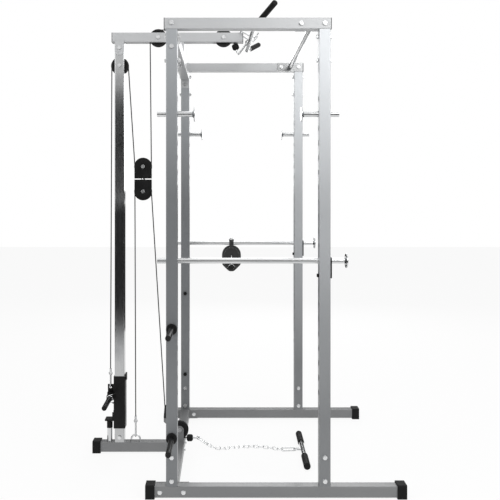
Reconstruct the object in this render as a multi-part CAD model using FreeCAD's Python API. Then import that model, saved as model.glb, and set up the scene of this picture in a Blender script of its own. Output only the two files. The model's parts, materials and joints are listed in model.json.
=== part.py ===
import FreeCAD, Part
import os
from math import acos, atan2, cos, degrees, hypot, pi, radians, sin

# Power cage with a plate-loaded lat pulldown tower, made of separate named pieces.
# Millimetres, +Z up. The origin is on the floor, midway along the overall length and on the
# mid-plane between the two side frames. +X points to the open front of the cage and the lat
# tower stands at the -X end. "near" pieces are at -Y and "far" pieces at +Y.

os.makedirs("parts", exist_ok=True)

# ---- driving sizes: the whole cage ----
cage_width = 1170.0          # over the outer faces of the uprights
cage_height = 2137.0         # floor to the top of the side rails
tube = 50.0                  # square steel tube used everywhere
wall = 2.5
corner = 3.0                 # outside corner radius of the tube
upright_spacing = 680.0      # rear upright to front upright, centre to centre
upright_setback = 363.0      # front upright centre behind the front end of the feet
rear_foot_reach = 117.0      # rear end of the feet behind the rear upright centre
tower_reach = 453.0          # rear end of the tower behind the rear upright centre
top_rail_lip = 30.0          # top rail end in front of the front upright centre
top_rail_rear_lip = 35.0     # top rail end behind the rear upright centre

# ---- feet, plugs and joiners ----
foot_wall = 7.0
foot_length = 41.0
plug_flange = 3.0
plug_depth = 18.0
plug_fit = 0.2
joiner_fit = 0.5             # each side, joiner inside tube
joiner_wall = 2.5
base_joiner_height = 160.0
top_joiner_height = 160.0

# ---- bolts and end plates ----
bolt_radius = 5.0
bolt_clearance = 0.4
bolt_head_across = 17.0
bolt_head_height = 6.4
bolt_flange_radius = 10.5
bolt_flange_height = 2.0
nut_height = 8.0
nut_fit = 0.1
bolt_tail = 2.0
plate_length = 150.0
plate_thickness = 5.0
plate_bolt_pitch = 105.0
base_bolt_height = 81.0      # lower of the two bolts at the foot of an upright
top_bolt_drop = 31.0         # upper joiner bolt below the top of the upright

# ---- adjustment holes, hooks and safety bars ----
hole_radius = 14.0
hole_pitch = 65.5
hole_lowest = 468.0
hole_count = 21
peg_radius = 12.5
peg_seat = 0.3               # a resting peg clears the bottom of its hole by this
peg_disc_radius = 33.0
peg_disc_thickness = 6.0
hook_hole = 19
hook_reach = 104.0           # upright centre to the disc
hook_stub = 66.0             # upright centre to the other end
safety_hole = 9
safety_front_reach = 102.0
safety_rear_stub = 66.0
lock_plate_width = 46.0
lock_plate_thickness = 6.0
lock_plate_above = 16.0
lock_plate_gap = 0.3
lock_pin_radius = 8.0
lock_pin_overrun = 8.0
lock_plate_edge = 12.0       # plate left below the lock pin's centre

# ---- pad that hangs on the far safety bar ----
pad_run = 278.0              # pad in front of the rear upright centre
pad_half_width = 57.0
pad_thickness = 24.0
pad_side = 60.0              # straight sides below the rounded top
pad_point = 42.0             # tapered bottom
pad_loop = 22.0              # outer radius of the loop over the bar
pad_loop_half_width = 14.0
pad_knob_radius = 15.0
pad_knob_height = 11.0
pad_knob_rise = 24.0         # knob above the pad's lowest point

# ---- pull-up bar and weight posts ----
pull_up_radius = 14.0
pull_up_setback = 52.0       # pull-up bar behind the front upright centre
post_heights = (755.0, 271.0)
post_radius = 12.5
post_length = 196.0
post_collar_radius = 24.5
post_collar_thickness = 10.0
post_collar_fit = 0.15
post_collar_gap = 0.3        # the post's shoulder clears its collar
post_neck_radius = 11.5
post_cap_length = 9.0
post_stud_radius = 6.0

# ---- cable and pulleys ----
cable_radius = 2.75
pulley_radius = 46.5
pulley_half_width = 8.0
cable_seat = 0.1             # cable off the bottom of the groove
crimp_play = 0.05            # a leaning cable clears the flat end of its ferrule
groove_radius = 40.4
axle_fit = 0.05
pulley_side_gap = 0.3

# ---- lat tower ----
post_setback = 140.0         # guide post centre in front of the tower's rear end
boom_rise = 59.0             # boom underside above the rear top beam
boom_rear_reach = 41.0       # boom end behind the guide post centre
boom_length = 687.0
tower_pulley_drop = 122.0    # tower pulley axle below the boom's underside
boom_rear_pulley_run = 201.0   # in front of the guide post centre
boom_front_pulley_run = 543.0
slot_half_length = 52.0
slot_half_width = 9.5
slot_front_extra = 18.0      # the front slot runs on to clear the cable
tongue_thickness = 4.0
tongue_length = 69.0
tongue_bolt_drop = 31.0
post_foot_bolt = 26.0        # above the tower base beam
saddle_plate = 4.0
saddle_half_width = 63.0
saddle_bolt_reach = 47.0     # saddle bolts from the boom's mid-plane

# ---- floating block ----
block_run = 121.0            # block centre in front of the guide post centre
block_upper_height = 1497.0
block_lower_height = 1366.0
block_cheek_radius = 44.5
block_flat = 62.5            # axle to the flat end of a housing
block_plate = 3.0
block_cheek_gap = 1.2        # pulley side to cheek
block_bolt_across = 14.0
block_bolt_flange = 8.6
block_nut_height = 5.5

# ---- low pulley and its cable guide ----
low_pulley_rise = 59.0       # axle above the rear base beam
bracket_half_width = 22.0
bracket_plate = 3.0
bracket_gap = 1.0
guide_run = 74.0             # cable guide behind the low pulley axle
guide_bottom = 178.0
guide_height = 66.0
guide_top_radius = 5.5
guide_base_radius = 10.5
guide_fit = 0.3
guide_bend = 60.0            # radius the cable takes under the guide

# ---- carriage ----
sleeve_size = 60.0
sleeve_wall = 3.0
sleeve_bottom = 131.0
sleeve_length = 270.0
bush_fit = 0.3
bush_height = 30.0
peg_bar_half = 240.0
peg_bar_offset = 44.0        # peg bar behind the guide post centre
peg_bar_height = 299.0
peg_bar_fit = 0.1
lug_thickness = 6.0
lug_spread = 20.0
lug_hole_radius = 6.5
lug_slack = 1.8              # hook wire below the top of the lug's hole
lug_hole_offset = 50.0
lug_hole_height = 339.0
strike_height = 168.0
strike_plate = 9.0
strike_reach = 46.0
carriage_flange_radius = 21.0
carriage_flange = 8.0
stop_offset = 54.0           # stop post behind the guide post centre
stop_radius = 13.5
stop_height = 142.0
stop_rubber_radius = 15.0
stop_rubber_grip = 14.0
stop_gap = 0.3
collar_wire = 2.0
collar_turns = 3
collar_run = 66.0
collar_handle = 44.0
collar_grip = 24.0
collar_lean = 14.0
collar_fit = 0.3

# ---- hooks, eyes and chain ----
hook_wire = 3.5
hook_slack = 0.3             # between the wires of two linked rings
hook_length = 82.0
hook_width = 30.0
narrow_hook_width = 22.0
ferrule_radius = 5.5
ferrule_length = 26.0
eye_wire = 2.5
eye_ring = 7.5
anchor_run = 82.0            # anchor ring in front of the guide post centre
anchor_wire = 4.0
anchor_ring = 23.0
anchor_leg = 9.0
ball_radius = 18.0
ball_length = 33.0
ball_run = 63.0              # lat ball stop in front of the boom's front pulley axle
ball_drop = 46.0             # lat ball stop below that axle
chain_wire = 2.0
chain_width = 18.0
chain_pitch = 26.0
chain_play = 0.6
chain_links = 16
chain_clear = 0.8            # the chain lies this far clear of the floor

# ---- lat bar ----
lat_bar_radius = 12.0
lat_bar_run = 684.0          # lat bar centre in front of the guide post centre
lat_bar_drop = 8.0           # lat bar centre below the boom's centre
lat_bar_half = 296.0         # half of the straight middle
lat_bar_end_run = 174.0      # an end's length along the bar
lat_bar_end_forward = 80.0
lat_bar_end_rise = 70.0
lat_bar_bend = 70.0
grip_fit = 0.1
lat_grip_radius = 13.7
lat_grip_length = 150.0
lat_bar_yaw = 1.8
lat_eye_radius = 9.0
clip_wire = 4.0
clip_spread = 45.0
clip_fit = 0.4

# ---- row bar and its cable end ----
row_ball_run = 10.0          # ball stop in front of the low pulley's groove
first_hook_run = 56.0
first_hook_height = 36.0     # where the first snap hook holds the chain
row_bar_radius = 12.5
row_bar_length = 472.0
row_bar_run = 645.0          # row bar in front of the rear upright centre
row_bar_y = -10.0
row_bar_yaw = 1.0
row_grip_radius = 17.0
row_grip_length = 140.0
row_eye_reach = 37.0

# ---- places worked out from the sizes above ----
half_tube = tube / 2.0
overall_length = tower_reach + upright_spacing + upright_setback
base_rail_length = rear_foot_reach + upright_spacing + upright_setback
top_rail_length = top_rail_rear_lip + upright_spacing + top_rail_lip
front_end = overall_length / 2.0
rear_end = -overall_length / 2.0
front_x = front_end - upright_setback
rear_x = front_x - upright_spacing
side_y = cage_width / 2.0 - half_tube
inner_y = side_y - half_tube
base_top = foot_wall + tube
base_axis = foot_wall + half_tube
upright_top = cage_height - tube
top_axis = cage_height - half_tube
beam_axis = upright_top - half_tube
post_x = rear_end + post_setback
boom_bottom = upright_top + boom_rise
boom_axis = boom_bottom + half_tube
boom_top = boom_bottom + tube
boom_rear = post_x - boom_rear_reach
boom_front = boom_rear + boom_length
tower_pulley_z = boom_bottom - tower_pulley_drop
cable_ring = groove_radius + cable_seat + cable_radius
block_x = post_x + block_run
low_pulley_z = base_top + low_pulley_rise
guide_x = rear_x - guide_run
lat_bar_x = post_x + lat_bar_run
lat_bar_z = boom_axis - lat_bar_drop
row_bar_x = rear_x + row_bar_run
peg_drop = hole_radius - peg_radius - peg_seat
hook_z = hole_lowest + hook_hole * hole_pitch - peg_drop
safety_z = hole_lowest + safety_hole * hole_pitch - peg_drop
sides = (("near", -1.0), ("far", 1.0))
up = FreeCAD.Vector(0, 0, 1)


def point(x, y, z):
    """A point or direction."""
    return FreeCAD.Vector(x, y, z)


def along(axis, run, first, second):
    """The point at run along axis, with the other two coordinates in X, Y, Z order."""
    if axis == "x":
        return point(run, first, second)
    if axis == "y":
        return point(first, run, second)
    return point(first, second, run)


def block(x0, x1, y0, y1, z0, z1):
    """A plain box between two corners."""
    return Part.makeBox(x1 - x0, y1 - y0, z1 - z0, point(x0, y0, z0))


def rod(start, end, radius):
    """A round bar between two points."""
    return Part.makeCylinder(radius, (end - start).Length, start, end - start)


def joined(shapes):
    """One solid from shapes that touch or overlap."""
    result = shapes[0].fuse(shapes[1:]).removeSplitter()
    return result.Solids[0] if len(result.Solids) == 1 else result


def cut_from(shape, tools):
    """shape with every tool cut away."""
    result = shape.cut(tools)
    return result.Solids[0] if len(result.Solids) == 1 else result


def square_bar(axis, start, stop, first, second, size, radius):
    """A solid square bar with rounded long edges."""
    half = size / 2.0
    low = along(axis, start, first - half, second - half)
    high = along(axis, stop, first + half, second + half)
    bar = block(low.x, high.x, low.y, high.y, low.z, high.z)
    direction = along(axis, 1.0, 0.0, 0.0)
    edges = [e for e in bar.Edges if abs(e.tangentAt(e.FirstParameter).dot(direction)) > 0.9]
    return bar.makeFillet(radius, edges)


def square_tube(axis, start, stop, first, second, size=tube, thickness=wall, radius=corner):
    """A square tube, open at both ends."""
    outer = square_bar(axis, start, stop, first, second, size, radius)
    inner_radius = max(radius - thickness, 0.5)
    inner = square_bar(axis, start - 1, stop + 1, first, second, size - 2 * thickness, inner_radius)
    return cut_from(outer, [inner])


def hole(axis, run, first, second, radius, reach):
    """A round cutter centred at run, reaching this far each way along axis."""
    return rod(along(axis, run - reach, first, second), along(axis, run + reach, first, second), radius)


def bolt_hole(axis, run, first, second, reach=tube):
    """A cutter for a bolt with its clearance."""
    return hole(axis, run, first, second, bolt_radius + bolt_clearance, reach)


def turned(shape, direction, place):
    """shape, made along +Z at the origin, turned to direction and moved to place."""
    moved = shape.copy()
    moved.Placement = FreeCAD.Placement(place, FreeCAD.Rotation(up, direction))
    return moved


def hexagon(across, bottom, top):
    """A hexagonal prism round the Z axis."""
    radius = across / 2.0 / cos(radians(30))
    corners = [point(radius * cos(k * pi / 3), radius * sin(k * pi / 3), bottom) for k in range(7)]
    return Part.Face(Part.makePolygon(corners)).extrude(point(0, 0, top - bottom))


def bolt(place, direction, grip, across=bolt_head_across, flange=bolt_flange_radius, tall=nut_height):
    """A flanged hexagon bolt and its nut, as two solids; the head's seat is at place."""
    seat = -bolt_flange_height
    nut_top = grip + bolt_flange_height + tall
    body = joined([
        hexagon(across, seat - bolt_head_height, seat),
        Part.makeCylinder(flange, bolt_flange_height, point(0, 0, seat)),
        Part.makeCylinder(bolt_radius, nut_top + bolt_tail),
    ])
    nut = joined([
        hexagon(across, grip + bolt_flange_height, nut_top),
        Part.makeCylinder(flange, bolt_flange_height, point(0, 0, grip)),
    ])
    nut = cut_from(nut, [hole("z", grip, 0, 0, bolt_radius + nut_fit, nut_top)])
    return [turned(body, direction, place), turned(nut, direction, place)]


def export(name, shapes):
    """Write one node, made of one or more separate solids."""
    solids = [solid for shape in shapes for solid in shape.Solids]
    whole = solids[0] if len(solids) == 1 else Part.makeCompound(solids)
    whole.exportStep("parts/" + name + ".step")
    print(name, len(solids), round(sum(solid.Volume for solid in solids) / 1000.0, 1))


# ---- cage frame ----
def base_joiner_bolts():
    """Heights of the two bolts at the foot of each upright."""
    return (base_bolt_height, base_bolt_height + plate_bolt_pitch)


def top_joiner_bolts():
    """Heights of the two bolts at the top of each upright."""
    return (upright_top - top_bolt_drop, upright_top - top_bolt_drop - plate_bolt_pitch)


def plate_bolts(centre):
    """The two bolt places of an end plate."""
    return (centre - plate_bolt_pitch / 2.0, centre + plate_bolt_pitch / 2.0)


def beam_bolt_heights():
    """Heights of the two bolts at each end of the rear top beam: upright, then side rail."""
    return plate_bolts(beam_axis)


def pull_up_x():
    """Centre of the pull-up bar."""
    return front_x - pull_up_setback


def base_rail(side):
    """A floor rail with its end-plate bolt holes."""
    start = front_end - base_rail_length + foot_wall / 2.0
    rail = square_tube("x", start, front_end - foot_wall / 2.0, side * side_y, base_axis)
    return cut_from(rail, [bolt_hole("y", side * side_y, x, base_axis) for x in plate_bolts(rear_x)])


def joiner(x, y, bottom, top):
    """A short inner tube that joins an upright to a rail."""
    size = tube - 2 * wall - 2 * joiner_fit
    return square_tube("z", bottom, top, x, y, size, joiner_wall, corner - 1.0)


def tube_joiners():
    """The inner tubes at both ends of each upright and at the foot of the guide post."""
    made = []
    for x in (rear_x, front_x):
        for name, side in sides:
            y = side * side_y
            low = joiner(x, y, base_top, base_top + base_joiner_height)
            made.append(cut_from(low, [bolt_hole("y", y, x, z) for z in base_joiner_bolts()]))
            high = joiner(x, y, upright_top - top_joiner_height, upright_top)
            cuts = [bolt_hole("x", x, y, z) for z in top_joiner_bolts()]
            if x == rear_x:
                cuts.append(bolt_hole("y", y, x, beam_bolt_heights()[0]))
            made.append(cut_from(high, cuts))
    foot = joiner(post_x, 0, base_top, base_top + base_joiner_height / 2.0)
    made.append(cut_from(foot, [bolt_hole("y", 0, post_x, base_top + post_foot_bolt)]))
    return made


def upright(x, side):
    """A perforated upright."""
    y = side * side_y
    column = square_tube("z", base_top, upright_top, x, y)
    heights = [hole_lowest + k * hole_pitch for k in range(hole_count)]
    cuts = [hole("x", x, y, z, hole_radius, tube) for z in heights]
    cuts += [bolt_hole("y", y, x, z) for z in base_joiner_bolts()]
    cuts += [bolt_hole("x", x, y, z) for z in top_joiner_bolts()]
    if x == rear_x:
        cuts.append(bolt_hole("y", y, x, beam_bolt_heights()[0]))
        cuts += [hole("y", y, x, z, post_stud_radius + bolt_clearance, tube) for z in post_heights]
    return cut_from(column, cuts)


def top_rail(side):
    """A side rail over the uprights."""
    y = side * side_y
    stop = front_x + top_rail_lip
    rail = square_tube("x", stop - top_rail_length + plug_flange, stop - plug_flange, y, top_axis)
    cuts = [bolt_hole("y", y, rear_x, beam_bolt_heights()[1])]
    cuts += [bolt_hole("y", y, x, top_axis) for x in plate_bolts(pull_up_x())]
    return cut_from(rail, cuts)


def rear_top_beam():
    """The beam between the rear uprights, with its two upright end plates."""
    reach = inner_y - plate_thickness
    pieces = [square_tube("y", -reach, reach, rear_x, beam_axis)]
    for name, side in sides:
        low, high = sorted((side * inner_y, side * reach))
        half = plate_length / 2.0
        plate = block(rear_x - half_tube, rear_x + half_tube, low, high, beam_axis - half, beam_axis + half)
        pieces.append(cut_from(plate, [bolt_hole("y", side * inner_y, rear_x, z) for z in beam_bolt_heights()]))
    beam = joined(pieces)
    return cut_from(beam, [bolt_hole("z", beam_axis, rear_x, y) for y in saddle_bolts()])


def rear_base_beam():
    """The floor beam between the two side frames, with flat end plates."""
    reach = inner_y - plate_thickness
    half = plate_length / 2.0
    pieces = [square_tube("y", -reach, reach, rear_x, base_axis)]
    for name, side in sides:
        low, high = sorted((side * inner_y, side * reach))
        plate = block(rear_x - half, rear_x + half, low, high, foot_wall, base_top)
        pieces.append(cut_from(plate, [bolt_hole("y", side * inner_y, x, base_axis) for x in plate_bolts(rear_x)]))
    return cut_from(joined(pieces), [bolt_hole("x", rear_x, y, base_axis) for y in plate_bolts(0.0)])


def pull_up_bar():
    """The round bar across the front of the top rails, with its end plates."""
    reach = inner_y - plate_thickness
    half = plate_length / 2.0
    x = pull_up_x()
    pieces = [rod(point(x, -reach, top_axis), point(x, reach, top_axis), pull_up_radius)]
    for name, side in sides:
        low, high = sorted((side * inner_y, side * reach))
        plate = block(x - half, x + half, low, high, upright_top, cage_height)
        pieces.append(cut_from(plate, [bolt_hole("y", side * inner_y, at, top_axis) for at in plate_bolts(x)]))
    return cut_from(joined(pieces), [hole("y", 0.0, x, top_axis, pull_up_radius - wall, inner_y)])


def foot_cap(end, direction, y):
    """A rubber foot over the end of a floor tube; direction points out along X."""
    low, high = sorted((end, end - direction * foot_length))
    body = square_bar("x", low, high, y, base_axis, tube + 2 * foot_wall, corner + 3.0)
    face = end - direction * foot_wall / 2.0
    inside = sorted((face, face - direction * (foot_length + tube)))
    pocket = block(inside[0], inside[1], y - half_tube, y + half_tube, foot_wall, base_top)
    return cut_from(body, [pocket])


def foot_caps():
    """All five rubber feet."""
    base_rear = front_end - base_rail_length
    caps = [foot_cap(front_end, 1.0, side * side_y) for name, side in sides]
    caps += [foot_cap(base_rear, -1.0, side * side_y) for name, side in sides]
    caps.append(foot_cap(rear_end, -1.0, 0.0))
    return caps


def end_plug(end, direction, y, z):
    """A flat plug in the end of a tube; direction points out along X."""
    face = end - direction * plug_flange
    flange = sorted((end, face))
    tongue = sorted((face, face - direction * plug_depth))
    inner = tube - 2 * wall - 2 * plug_fit
    return joined([
        square_bar("x", flange[0], flange[1], y, z, tube, corner),
        square_bar("x", tongue[0], tongue[1], y, z, inner, 0.5),
    ])


def weight_post(side, z):
    """A plate storage post with its stud and nut, as two solids."""
    face = cage_width / 2.0
    stud_end = inner_y - nut_height - bolt_tail
    shoulder = face + post_collar_thickness + post_collar_gap
    ends = [point(rear_x, side * at, z) for at in (face + post_length, shoulder, face, stud_end)]
    radii = (post_radius, post_neck_radius, post_stud_radius)
    body = joined([rod(start, end, radius) for start, end, radius in zip(ends, ends[1:], radii)])
    nut = hexagon(bolt_head_across + 2.0, 0, nut_height)
    nut = cut_from(nut, [hole("z", 0, 0, 0, post_stud_radius + nut_fit, 2 * nut_height)])
    return [body, turned(nut, point(0, -side, 0), point(rear_x, side * inner_y, z))]


def weight_post_trim(side, z):
    """The black collar at the root of a storage post and the cap on its end."""
    face = cage_width / 2.0
    root = [point(rear_x, side * at, z) for at in (face, face + post_collar_thickness)]
    collar = rod(root[0], root[1], post_collar_radius)
    collar = cut_from(collar, [hole("y", side * face, rear_x, z, post_neck_radius + post_collar_fit, tube)])
    tip = [point(rear_x, side * at, z) for at in (face + post_length, face + post_length + post_cap_length)]
    cap = rod(tip[0], tip[1], post_radius)
    rim = [edge for edge in cap.Edges if abs(edge.CenterOfMass.y) > abs(tip[1].y) - 0.1]
    return [collar, cap.makeFillet(3.0, rim[:1])]


def end_plugs():
    """Black plugs in the side rails and the boom, and the trim of the storage posts."""
    stop = front_x + top_rail_lip
    made = []
    for name, side in sides:
        made.append(end_plug(stop, 1.0, side * side_y, top_axis))
        made.append(end_plug(stop - top_rail_length, -1.0, side * side_y, top_axis))
        for z in post_heights:
            made += weight_post_trim(side, z)
    made.append(end_plug(boom_front, 1.0, 0.0, boom_axis))
    made.append(end_plug(boom_rear, -1.0, 0.0, boom_axis))
    return made


def frame_bolts():
    """Every bolt, nut and pulley axle that stays with the frame."""
    made = []
    outer = cage_width / 2.0
    for name, side in sides:
        inward = point(0, -side, 0)
        y = side * outer
        for x in (rear_x, front_x):
            for z in base_joiner_bolts():
                made += bolt(point(x, y, z), inward, tube)
            outward = -1.0 if x == rear_x else 1.0
            for z in top_joiner_bolts():
                made += bolt(point(x + outward * half_tube, side * side_y, z), point(-outward, 0, 0), tube)
        for z in beam_bolt_heights():
            made += bolt(point(rear_x, y, z), inward, tube + plate_thickness)
        for x in plate_bolts(rear_x):
            made += bolt(point(x, y, base_axis), inward, tube + plate_thickness)
        for x in plate_bolts(pull_up_x()):
            made += bolt(point(x, y, top_axis), inward, tube + plate_thickness)
    for y in plate_bolts(0.0):
        made += bolt(point(rear_x + half_tube, y, base_axis), point(-1, 0, 0), tube + plate_thickness)
    for y in saddle_bolts():
        made += bolt(point(rear_x, y, upright_top + saddle_plate), point(0, 0, -1), tube + saddle_plate)
    far = point(0, 1, 0)
    made += bolt(point(post_x, -half_tube, base_top + post_foot_bolt), far, tube)
    tongue_face = half_tube + tongue_thickness
    made += bolt(point(post_x, -tongue_face, boom_bottom - tongue_bolt_drop), far, 2 * tongue_face)
    for x, z in ((post_x, tower_pulley_z), (boom_pulley_x(0), boom_axis), (boom_pulley_x(1), boom_axis)):
        made += bolt(point(x, -half_tube, z), far, tube)
        made += axle_spacers(x, z, half_tube - wall)
    ear = bracket_ear()
    made += bolt(point(rear_x, -ear, low_pulley_z), far, 2 * ear)
    return made


def axle_spacers(x, z, inner):
    """Two sleeves that keep a pulley in the middle of its axle."""
    start = pulley_half_width + pulley_side_gap
    made = []
    for name, side in sides:
        sleeve = rod(point(x, side * start, z), point(x, side * inner, z), bolt_radius + 3.0)
        made.append(cut_from(sleeve, [hole("y", 0, x, z, bolt_radius + nut_fit, tube)]))
    return made


# ---- pulleys ----
def boom_pulley_x(which):
    """Centre of the rear (0) or front (1) boom pulley."""
    return post_x + (boom_rear_pulley_run, boom_front_pulley_run)[which]


def pulley(x, z):
    """A grooved pulley on an axle along Y."""
    rim = pulley_half_width
    half = [
        (bolt_radius + axle_fit, rim), (12.0, rim), (13.0, rim - 3.5), (33.0, rim - 3.5),
        (35.0, rim), (pulley_radius - 0.8, rim), (pulley_radius, rim - 0.8), (pulley_radius, 4.6),
        (cable_ring, cable_radius + 0.35), (groove_radius, 2.2),
    ]
    outline = half + [(radius, -width) for radius, width in reversed(half)]
    corners = [point(x + radius, width, z) for radius, width in outline]
    face = Part.Face(Part.makePolygon(corners + corners[:1]))
    return face.revolve(point(x, 0, z), point(0, 1, 0), 360.0)


# ---- lat tower ----
def saddle_bolts():
    """Places across the rear top beam of the two bolts that hold the boom saddle."""
    return (-saddle_bolt_reach, saddle_bolt_reach)


def tower_base_beam():
    """The floor beam from the rear base beam back to the tower's foot."""
    joint = rear_x - half_tube - plate_thickness
    pieces = [
        square_tube("x", rear_end + foot_wall / 2.0, joint, 0.0, base_axis),
        block(joint, joint + plate_thickness, -plate_length / 2.0, plate_length / 2.0, foot_wall, base_top),
    ]
    return cut_from(joined(pieces), [bolt_hole("x", joint, y, base_axis) for y in plate_bolts(0.0)])


def guide_post():
    """The plated post that the carriage runs on, slotted for the top pulley."""
    post = square_tube("z", base_top, boom_bottom, post_x, 0.0)
    slot = block(post_x - tube, post_x + tube, -slot_half_width, slot_half_width,
                 tower_pulley_z - slot_half_length, tower_pulley_z + slot_half_length)
    cuts = [slot]
    for z in (base_top + post_foot_bolt, boom_bottom - tongue_bolt_drop, tower_pulley_z):
        cuts.append(bolt_hole("y", 0.0, post_x, z))
    return cut_from(post, cuts)


def tower_boom():
    """The top boom, slotted for its two pulleys, with the tongues that hold the post."""
    beam = square_tube("x", boom_rear + plug_flange, boom_front - plug_flange, 0.0, boom_axis)
    cuts = []
    for which in (0, 1):
        x = boom_pulley_x(which)
        front = x + slot_half_length + which * slot_front_extra
        cuts.append(block(x - slot_half_length, front, -slot_half_width, slot_half_width,
                          boom_bottom - tube, boom_top + tube))
        cuts.append(bolt_hole("y", 0.0, x, boom_axis))
    pieces = [cut_from(beam, cuts)]
    round_z = boom_bottom - tongue_length + half_tube - 1.0
    for name, side in sides:
        low, high = sorted((side * half_tube, side * (half_tube + tongue_thickness)))
        plate = block(post_x - half_tube + 1, post_x + half_tube - 1, low, high, round_z, boom_bottom + 8.0)
        end = rod(point(post_x, low, round_z), point(post_x, high, round_z), half_tube - 1.0)
        tongue = joined([plate, end])
        pieces.append(cut_from(tongue, [bolt_hole("y", 0.0, post_x, boom_bottom - tongue_bolt_drop)]))
    return joined(pieces)


def boom_saddle():
    """The tube stub and foot plate on the rear top beam that carry the boom."""
    foot = block(rear_x - half_tube, rear_x + half_tube, -saddle_half_width, saddle_half_width,
                 upright_top, upright_top + saddle_plate)
    stub = square_tube("z", upright_top + saddle_plate, boom_bottom, rear_x, 0.0)
    return cut_from(joined([foot, stub]), [bolt_hole("z", upright_top, rear_x, y) for y in saddle_bolts()])


def bracket_ear():
    """Outer face of the low pulley bracket's ears."""
    return pulley_half_width + bracket_gap + bracket_plate


def low_pulley_bracket():
    """The ears that hold the low pulley, and the arms that carry the cable guide."""
    inside = pulley_half_width + bracket_gap
    outside = bracket_ear()
    x0 = rear_x - bracket_half_width
    x1 = rear_x + bracket_half_width
    arm_width = 9.0
    pieces = [block(x0, x1, -outside, outside, base_top, base_top + bracket_plate)]
    for name, side in sides:
        low, high = sorted((side * inside, side * outside))
        pieces.append(block(x0, x1, low, high, base_top, low_pulley_z))
        pieces.append(rod(point(rear_x, low, low_pulley_z), point(rear_x, high, low_pulley_z), bracket_half_width))
        corners = [
            point(x0, low, low_pulley_z - arm_width), point(guide_x - arm_width, low, guide_bottom - 2 * arm_width),
            point(guide_x - arm_width, low, guide_bottom), point(guide_x + arm_width, low, guide_bottom),
            point(rear_x, low, low_pulley_z + arm_width),
        ]
        arm = Part.Face(Part.makePolygon(corners + corners[:1])).extrude(point(0, high - low, 0))
        pieces.append(arm)
    shelf = block(guide_x - arm_width, guide_x + arm_width, -outside, outside,
                  guide_bottom - bracket_plate, guide_bottom)
    pieces.append(shelf)
    throat = block(guide_x - cable_radius - 1.5, guide_x + arm_width + 1.0, -inside, inside,
                   guide_bottom - bracket_plate - 1.0, guide_bottom + 1.0)
    return cut_from(joined(pieces), [throat, bolt_hole("y", 0.0, rear_x, low_pulley_z)])


# ---- cable route, in the X-Z plane ----
def tangent(start, start_side, end, end_side):
    """Tangent points of the straight run between two circles of the cable's radius.

    A side is 1.0 where the cable passes on the left of the direction of travel, -1.0 on the
    right and 0.0 where the run ends at the point itself.
    """
    dx = end[0] - start[0]
    dz = end[1] - start[1]
    first = start_side * cable_ring
    second = end_side * cable_ring
    turn = atan2(dz, dx) + acos((first - second) / hypot(dx, dz))
    nx = cos(turn)
    nz = sin(turn)
    return ((start[0] + first * nx, start[1] + first * nz), (end[0] + second * nx, end[1] + second * nz))


def run(ends):
    """A straight length of cable between two X-Z places."""
    return rod(point(ends[0][0], 0, ends[0][1]), point(ends[1][0], 0, ends[1][1]), cable_radius)


def bend(centre, start, sweep, radius=None):
    """A length of cable round a centre, from an X-Z place, sweeping from +X towards +Z."""
    normal = point(-(start[1] - centre[1]), 0, start[0] - centre[0])
    section = Part.Face(Part.Wire(Part.makeCircle(cable_radius, point(start[0], 0, start[1]), normal)))
    return section.revolve(point(centre[0], 0, centre[1]), point(0, -1, 0), sweep)


def sweep_between(centre, start, end, clockwise):
    """Signed sweep in degrees from one place on a circle to another."""
    first = atan2(start[1] - centre[1], start[0] - centre[0])
    last = atan2(end[1] - centre[1], end[0] - centre[0])
    turn = degrees(last - first) % 360.0
    return turn - 360.0 if clockwise else turn


tower_pin = (post_x, tower_pulley_z)
boom_rear_pin = (boom_pulley_x(0), boom_axis)
boom_front_pin = (boom_pulley_x(1), boom_axis)
block_upper_pin = (block_x, block_upper_height)
block_lower_pin = (block_x, block_lower_height)
low_pin = (rear_x, low_pulley_z)
ball_place = (boom_pulley_x(1) + ball_run, boom_axis - ball_drop)
carriage_eye = (post_x - lug_hole_offset, lug_hole_height + hook_length - 9.0)
anchor_eye = (post_x + anchor_run, base_top + 36.0 + hook_length - 14.0)

carriage_line = tangent((carriage_eye[0], carriage_eye[1] + ferrule_length + crimp_play), 0.0, tower_pin, 1.0)
tower_line = tangent(tower_pin, 1.0, block_upper_pin, -1.0)
block_line = tangent(block_upper_pin, -1.0, boom_rear_pin, 1.0)
boom_line = tangent(boom_rear_pin, 1.0, boom_front_pin, 1.0)
lat_line = tangent(boom_front_pin, 1.0, ball_place, 0.0)
anchor_line = tangent((anchor_eye[0], anchor_eye[1] + ferrule_length + crimp_play), 0.0, block_lower_pin, 1.0)
guide_line = tangent(block_lower_pin, 1.0, (guide_x, guide_bottom), 0.0)
low_line = tangent((guide_x, guide_bottom), 0.0, low_pin, -1.0)


def cut_short(ends, gap):
    """The run between two X-Z places, ended this far before its second place."""
    dx = ends[1][0] - ends[0][0]
    dz = ends[1][1] - ends[0][1]
    keep = 1.0 - gap / hypot(dx, dz)
    return (ends[0], (ends[0][0] + keep * dx, ends[0][1] + keep * dz))


def guide_corner():
    """The cable under its guide: the bend, and the run left on each side of it."""
    first = atan2(guide_line[1][1] - guide_line[0][1], guide_line[1][0] - guide_line[0][0])
    second = atan2(low_line[1][1] - low_line[0][1], low_line[1][0] - low_line[0][0])
    turn = second - first
    setback = guide_bend * abs(sin(turn / 2.0) / cos(turn / 2.0))
    above = cut_short(guide_line, setback)
    below = cut_short((low_line[1], low_line[0]), setback)
    centre = (above[1][0] - guide_bend * sin(first), above[1][1] + guide_bend * cos(first))
    return above, bend(centre, above[1], degrees(turn)), below


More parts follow.
